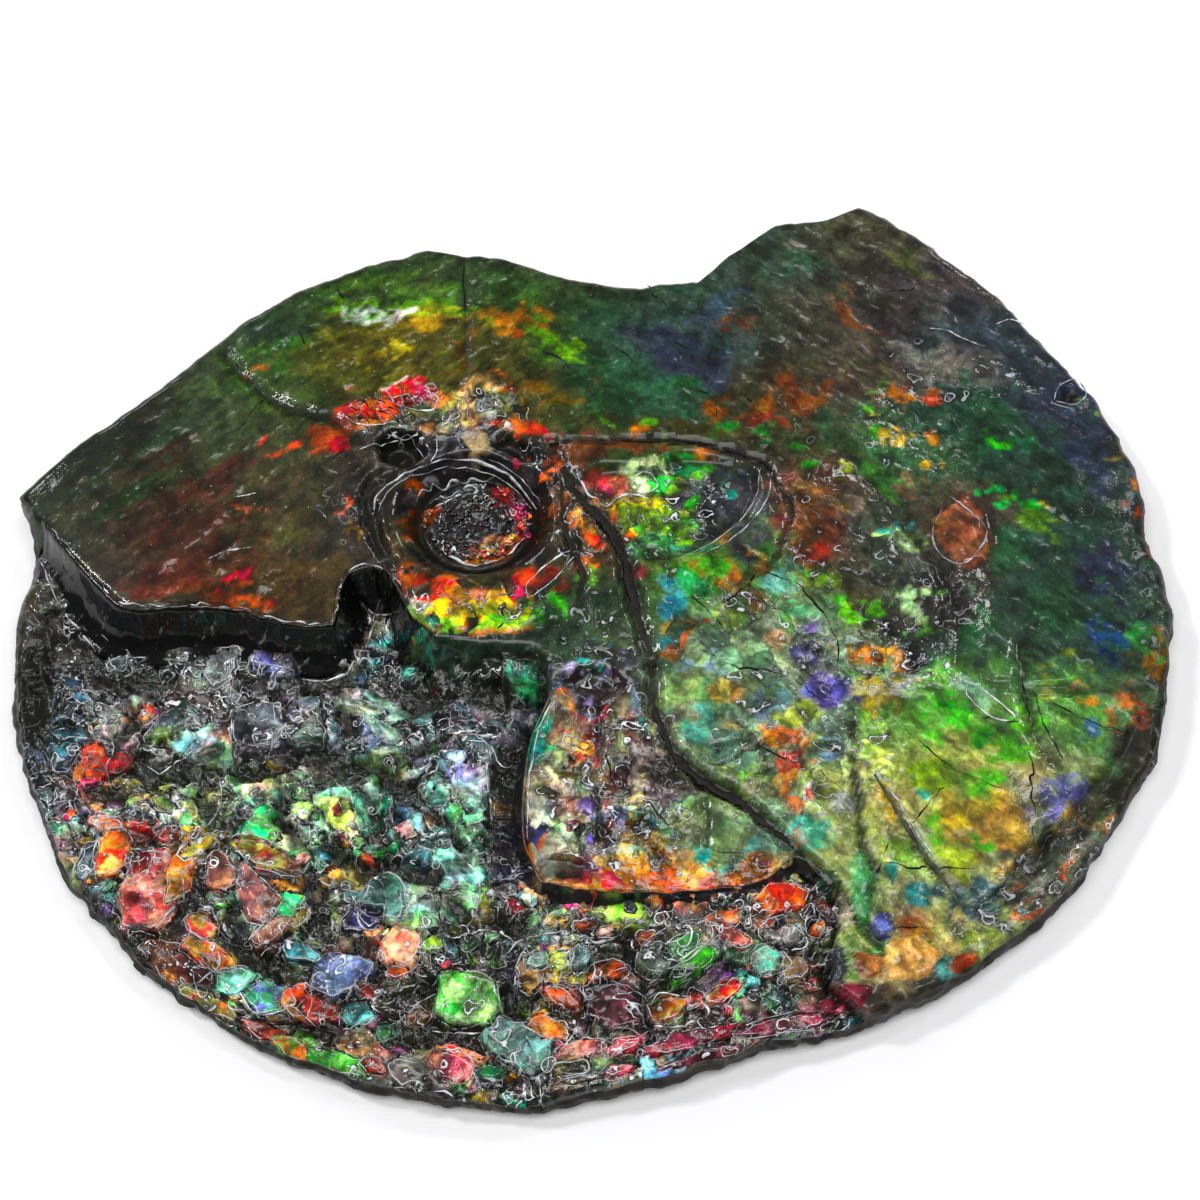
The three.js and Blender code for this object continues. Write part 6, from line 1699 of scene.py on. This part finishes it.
        # Painted highlights of the curls, threads and rings, and the pale grains and scratches.
        lined = self.blend(self.maths("MAXIMUM", line, self.specks()), self.tone(), PAINTED_GLINT_AND_SCRATCH_PALE)
        # Dark seams, and painted shade in the crevices.
        parted = self.blend(self.gaps(), lined, SEAM_DARK_AND_CREVICE_SHADE)
        # Painted shade in hollows, cracks and crevices.
        return self.blend(self.times(self.hollow, 0.94), parted, HOLLOW_PAINTED_SHADE)

    def relief(self, line):
        wrinkle = self.maths("MULTIPLY_ADD", self.crust, self.settings.crust_bump, 0.08)
        height = self.times(self.curls, wrinkle)
        fine_share = self.maths("MULTIPLY_ADD", self.crust, 0.12, 0.03)
        height = self.maths("MULTIPLY_ADD", self.fine, fine_share, height)
        height = self.maths("MULTIPLY_ADD", self.streak, self.times(self.crust, 0.16), height)
        height = self.maths("MULTIPLY_ADD", line, 0.1, height)
        return self.bump(height, self.settings.bump_height)


def shell_material(name):
    """The shell's finish, one for each piece that has it."""
    settings = bpy.context.scene.ammolite_finish
    shell = ShellFinish(name, settings)
    line = shell.lines()
    bump = shell.relief(line)
    return shell.shader({
        "Base Color": shell.colour(line), "Roughness": settings.roughness, "Normal": bump,
        "Coat Weight": shell.coat, "Coat Roughness": settings.coat_roughness, "Coat Normal": bump,
        "Specular IOR Level": DULL,
    })


def resin_glint_material():
    """Hardened pale resin, its paleness also a painted glint, brighter and dimmer along its lines:
    light, hard and very glossy.
    """
    resin = Finish("resin_glint_finish")
    light = resin.ramp(resin.noise(resin.where, 900.0)["Fac"], 0.35, 0.65, 0.25, 1.3)
    return resin.shader({
        "Base Color": resin.blend(1.0, resin.attribute("tint")["Color"], light, "MULTIPLY"),
        "Roughness": 0.2, "Coat Weight": 1.0,
        "Coat Roughness": bpy.context.scene.ammolite_finish.coat_roughness,
    })


def crack_material(name):
    """Dark granular matrix in the cracks, with a little gloss."""
    matrix = Finish(name)
    dust = matrix.noise(matrix.where, 1500.0, 3.0)["Fac"]
    return matrix.shader({
        "Base Color": matrix.blend(dust, matrix.attribute("tint")["Color"], MATRIX_DARK),
        "Roughness": 0.5, "Normal": matrix.bump(dust, 0.0002, 0.8), "Specular IOR Level": DULL,
    })


# ---- Stage ---------------------------------------------------------------------------------

LOOK_AT = (0.85, 2.6, 4.0)  # in millimetres
FLOOR_REACH, FLOOR_DROP = 2.0, 0.0002
SOFT_BOX = ("top", (0.0, -0.28, 1.05), (0.8, 0.45), 1.0)  # name, place, size, share of the power
GLINT_ANGLE, GLINT_DISTANCE, GLINT_SIZE = math.radians(38), 0.85, (0.1, 0.1)
GLINTS = [  # name, turn round the mirror direction in degrees, share of the power
    ("key", 200, 0.24), ("left", 160, 0.09), ("right", 5, 0.1),
    ("back_left", 128, 0.08), ("back_right", 50, 0.08), ("high_right", -32, 0.07),
]


def aim(obj, target):
    """Turns an object so that its -Z looks at the target."""
    way = np.array(target) - np.array(obj.location)
    flat = math.hypot(way[0], way[1])
    obj.rotation_euler = (math.atan2(flat, -way[2]), 0.0, math.atan2(way[1], way[0]) - math.pi / 2)


def stage_camera(settings):
    """Camera in front and above: elevation and distance round the fossil's middle."""
    data = bpy.data.cameras.new("camera")
    data.lens, data.sensor_width = settings.lens, 36.0
    data.clip_start, data.clip_end = 0.01, 20.0
    camera = bpy.data.objects.new("camera", data)
    bpy.context.scene.collection.objects.link(camera)
    elevation = settings.camera_elevation
    back = np.array([0, -math.cos(elevation), math.sin(elevation)])
    camera.location = np.array(LOOK_AT) * MM + settings.camera_distance * back
    camera.rotation_euler = (math.pi / 2 - elevation, 0, 0)
    bpy.context.scene.camera = camera


def stage_floor(settings):
    """A large pale sheet just under the fossil, with the faintest mottling."""
    mesh = bpy.data.meshes.new("floor")
    corners = [(-1, -1), (1, -1), (1, 1), (-1, 1)]
    mesh.from_pydata([(FLOOR_REACH * x, FLOOR_REACH * y, -FLOOR_DROP) for x, y in corners], [],
                     [(0, 1, 2, 3)])
    floor = bpy.data.objects.new("floor", mesh)
    bpy.context.scene.collection.objects.link(floor)
    table = Finish("floor_finish")
    bright, shaded = [(*(share * c for c in settings.floor_colour), 1.0) for share in (1, 0.985)]
    tone = table.blend(table.noise(table.where, 3.0)["Fac"], bright, shaded)
    material = table.shader({"Base Color": tone, "Roughness": 0.9, "Specular IOR Level": 0.1})
    floor.data.materials.append(material)


def stage_lights(settings):
    """A broad soft box above and small ones for the glints, on a circle round the direction that
    a level mirror would show: d = cos a m + sin a (cos t i + sin t j), where m is that direction
    and i and j are square to it. Also a dim even world."""
    level = settings.camera_elevation
    mirror = np.array([0.0, math.cos(level), math.sin(level)])
    beside, beyond = np.array([1.0, 0.0, 0.0]), np.array([0.0, math.sin(level), -math.cos(level)])
    boxes = [SOFT_BOX]
    for name, turn, share in GLINTS:
        around = math.cos(math.radians(turn)) * beside + math.sin(math.radians(turn)) * beyond
        way = math.cos(GLINT_ANGLE) * mirror + math.sin(GLINT_ANGLE) * around
        boxes.append((name, GLINT_DISTANCE * way, GLINT_SIZE, share))
    for name, place, size, share in boxes:
        data = bpy.data.lights.new(name, "AREA")
        data.shape, data.size, data.size_y = "RECTANGLE", *size
        data.energy = settings.light_power * share
        box = bpy.data.objects.new(name, data)
        bpy.context.scene.collection.objects.link(box)
        box.location = place
        aim(box, (0.0, 0.0, 0.0))
    world = bpy.data.worlds.new("studio")
    world.use_nodes = True
    background = world.node_tree.nodes["Background"]
    background.inputs["Color"].default_value = (0.96, 0.97, 1.0, 1.0)
    background.inputs["Strength"].default_value = settings.world_strength
    bpy.context.scene.world = world
    bpy.context.scene.view_settings.view_transform = "Standard"


# ---- Add-on ------------------------------------------------------------------------------

class AmmoliteBody(bpy.types.PropertyGroup):
    grid_steps: IntProperty(name="Grid Steps", description="Points along each side of the body's grid",
                            default=272, min=40, max=290)
    lip: FloatProperty(name="Lip", description="Width over which the top rounds into the rim",
                       default=0.0008, unit="LENGTH", subtype="DISTANCE")


class AmmoliteFlakes(bpy.types.PropertyGroup):
    spacing: FloatProperty(name="Flake Spacing", description="Mean spacing of the small flakes",
                           default=0.0021, unit="LENGTH", subtype="DISTANCE")


class AmmoliteLines(bpy.types.PropertyGroup):
    resin_radius: FloatProperty(name="Resin Radius", description="Radius of the pale resin lines",
                                default=0.00008, unit="LENGTH", subtype="DISTANCE")
    # The colour of the resin lines, which is also their painted glint.
    resin_glint_colour: FloatVectorProperty(name="Resin Colour", description="Colour of the resin lines",
                                      default=(0.8, 0.82, 0.85), subtype="COLOR", min=0, max=1)
    hairline_width: FloatProperty(name="Hairline Width", description="Width of the fine cracks",
                                  default=0.00022, unit="LENGTH", subtype="DISTANCE")
    crack_share: FloatProperty(name="Crack Share", description="Half width of the crack filling, as a "
                               "share of its listed width", default=0.5, min=0, max=1)


class AmmoliteFinish(bpy.types.PropertyGroup):
    roughness: FloatProperty(name="Roughness", description="Roughness of the shell",
                             default=0.45, min=0, max=1)
    coat_roughness: FloatProperty(name="Coat Roughness", description="Roughness of the clear coat",
                                  default=0.05, min=0, max=1)
    bump_height: FloatProperty(name="Bump Height", description="Height of the finish's fine relief",
                               default=0.0008, unit="LENGTH", subtype="DISTANCE")
    crust_bump: FloatProperty(name="Crust Bump", description="Share of the fine relief on crust", default=0.9)
    curl_scale: FloatProperty(name="Curl Scale", description="Curls of the crust to a metre", default=430.0)
    cell_scale: FloatProperty(name="Cell Scale", description="Mosaic cells to a metre", default=330.0)
    saturation: FloatProperty(name="Saturation", description="Strength of the shell's colours", default=1.1)


class AmmoliteStage(bpy.types.PropertyGroup):
    lens: FloatProperty(name="Lens", description="Focal length in millimetres", default=85.0)
    camera_elevation: FloatProperty(name="Camera Elevation", description="Angle above the table",
                                    default=math.radians(62), unit="ROTATION", subtype="ANGLE")
    camera_distance: FloatProperty(name="Camera Distance", description="Distance to the fossil's middle",
                                   default=0.293, unit="LENGTH", subtype="DISTANCE")
    light_power: FloatProperty(name="Light Power", description="Power of the broad light above",
                               default=8.5, unit="POWER")
    world_strength: FloatProperty(name="World Strength", description="Brightness of the even surround",
                                  default=0.08)
    floor_colour: FloatVectorProperty(name="Floor Colour", description="Colour of the table",
                                      default=(0.92, 0.92, 0.93), subtype="COLOR", min=0, max=1)


class AMMOLITE_OT_stage(bpy.types.Operator):
    """Set the camera, the table and the lights"""
    bl_idname = "ammolite.stage"
    bl_label = "Stage"

    def execute(self, context):
        settings = context.scene.ammolite_stage
        stage_camera(settings)
        stage_floor(settings)
        stage_lights(settings)
        return {"FINISHED"}


class AMMOLITE_OT_body(bpy.types.Operator):
    """Build the fossil's body"""
    bl_idname = "ammolite.body"
    bl_label = "Fossil Body"

    def execute(self, context):
        body_piece(context.scene.ammolite_body)
        return {"FINISHED"}


class AMMOLITE_OT_flakes(bpy.types.Operator):
    """Build the small flakes and the pale resin lines, whose paleness is also a painted glint"""
    bl_idname = "ammolite.flakes"
    bl_label = "Flakes and Resin Lines"

    def execute(self, context):
        chip_piece(context.scene.ammolite_flakes)
        resin_glint_piece(context.scene.ammolite_lines)
        return {"FINISHED"}


class AMMOLITE_OT_cracks(bpy.types.Operator):
    """Build the hairline cracks and the filling of the wide cracks"""
    bl_idname = "ammolite.cracks"
    bl_label = "Cracks"

    def execute(self, context):
        hairline_piece(context.scene.ammolite_lines)
        crack_piece(context.scene.ammolite_lines)
        return {"FINISHED"}


class AMMOLITE_OT_wall(bpy.types.Operator):
    """Build the broken edge of the shell layer"""
    bl_idname = "ammolite.wall"
    bl_label = "Broken Wall"

    def execute(self, context):
        wall_pieces()
        return {"FINISHED"}


OPERATORS = (AMMOLITE_OT_stage, AMMOLITE_OT_body, AMMOLITE_OT_wall, AMMOLITE_OT_flakes, AMMOLITE_OT_cracks)
GROUPS = {
    "ammolite_body": AmmoliteBody,
    "ammolite_flakes": AmmoliteFlakes,
    "ammolite_lines": AmmoliteLines,
    "ammolite_finish": AmmoliteFinish,
    "ammolite_stage": AmmoliteStage,
}


class AMMOLITE_PT_panel(bpy.types.Panel):
    """Sizes, finishes and builders of the ammolite specimen"""
    bl_label = "Ammolite Specimen"
    bl_space_type = "VIEW_3D"
    bl_region_type = "UI"
    bl_category = "Ammolite"

    def draw(self, context):
        for name, group in GROUPS.items():
            box = self.layout.box()
            for field in group.__annotations__:
                box.prop(getattr(context.scene, name), field)
        for operator in OPERATORS:
            self.layout.operator(operator.bl_idname)


def register():
    for group in GROUPS.values():
        bpy.utils.register_class(group)
    for operator in OPERATORS:
        bpy.utils.register_class(operator)
    bpy.utils.register_class(AMMOLITE_PT_panel)
    for name, group in GROUPS.items():
        setattr(bpy.types.Scene, name, PointerProperty(type=group))


def unregister():
    for name in GROUPS:
        delattr(bpy.types.Scene, name)
    bpy.utils.unregister_class(AMMOLITE_PT_panel)
    for operator in reversed(OPERATORS):
        bpy.utils.unregister_class(operator)
    for group in reversed(list(GROUPS.values())):
        bpy.utils.unregister_class(group)


def main():
    register()
    bpy.ops.ammolite.stage()
    bpy.ops.ammolite.body()
    bpy.ops.ammolite.wall()
    bpy.ops.ammolite.flakes()
    bpy.ops.ammolite.cracks()


if __name__ == "__main__":
    main()
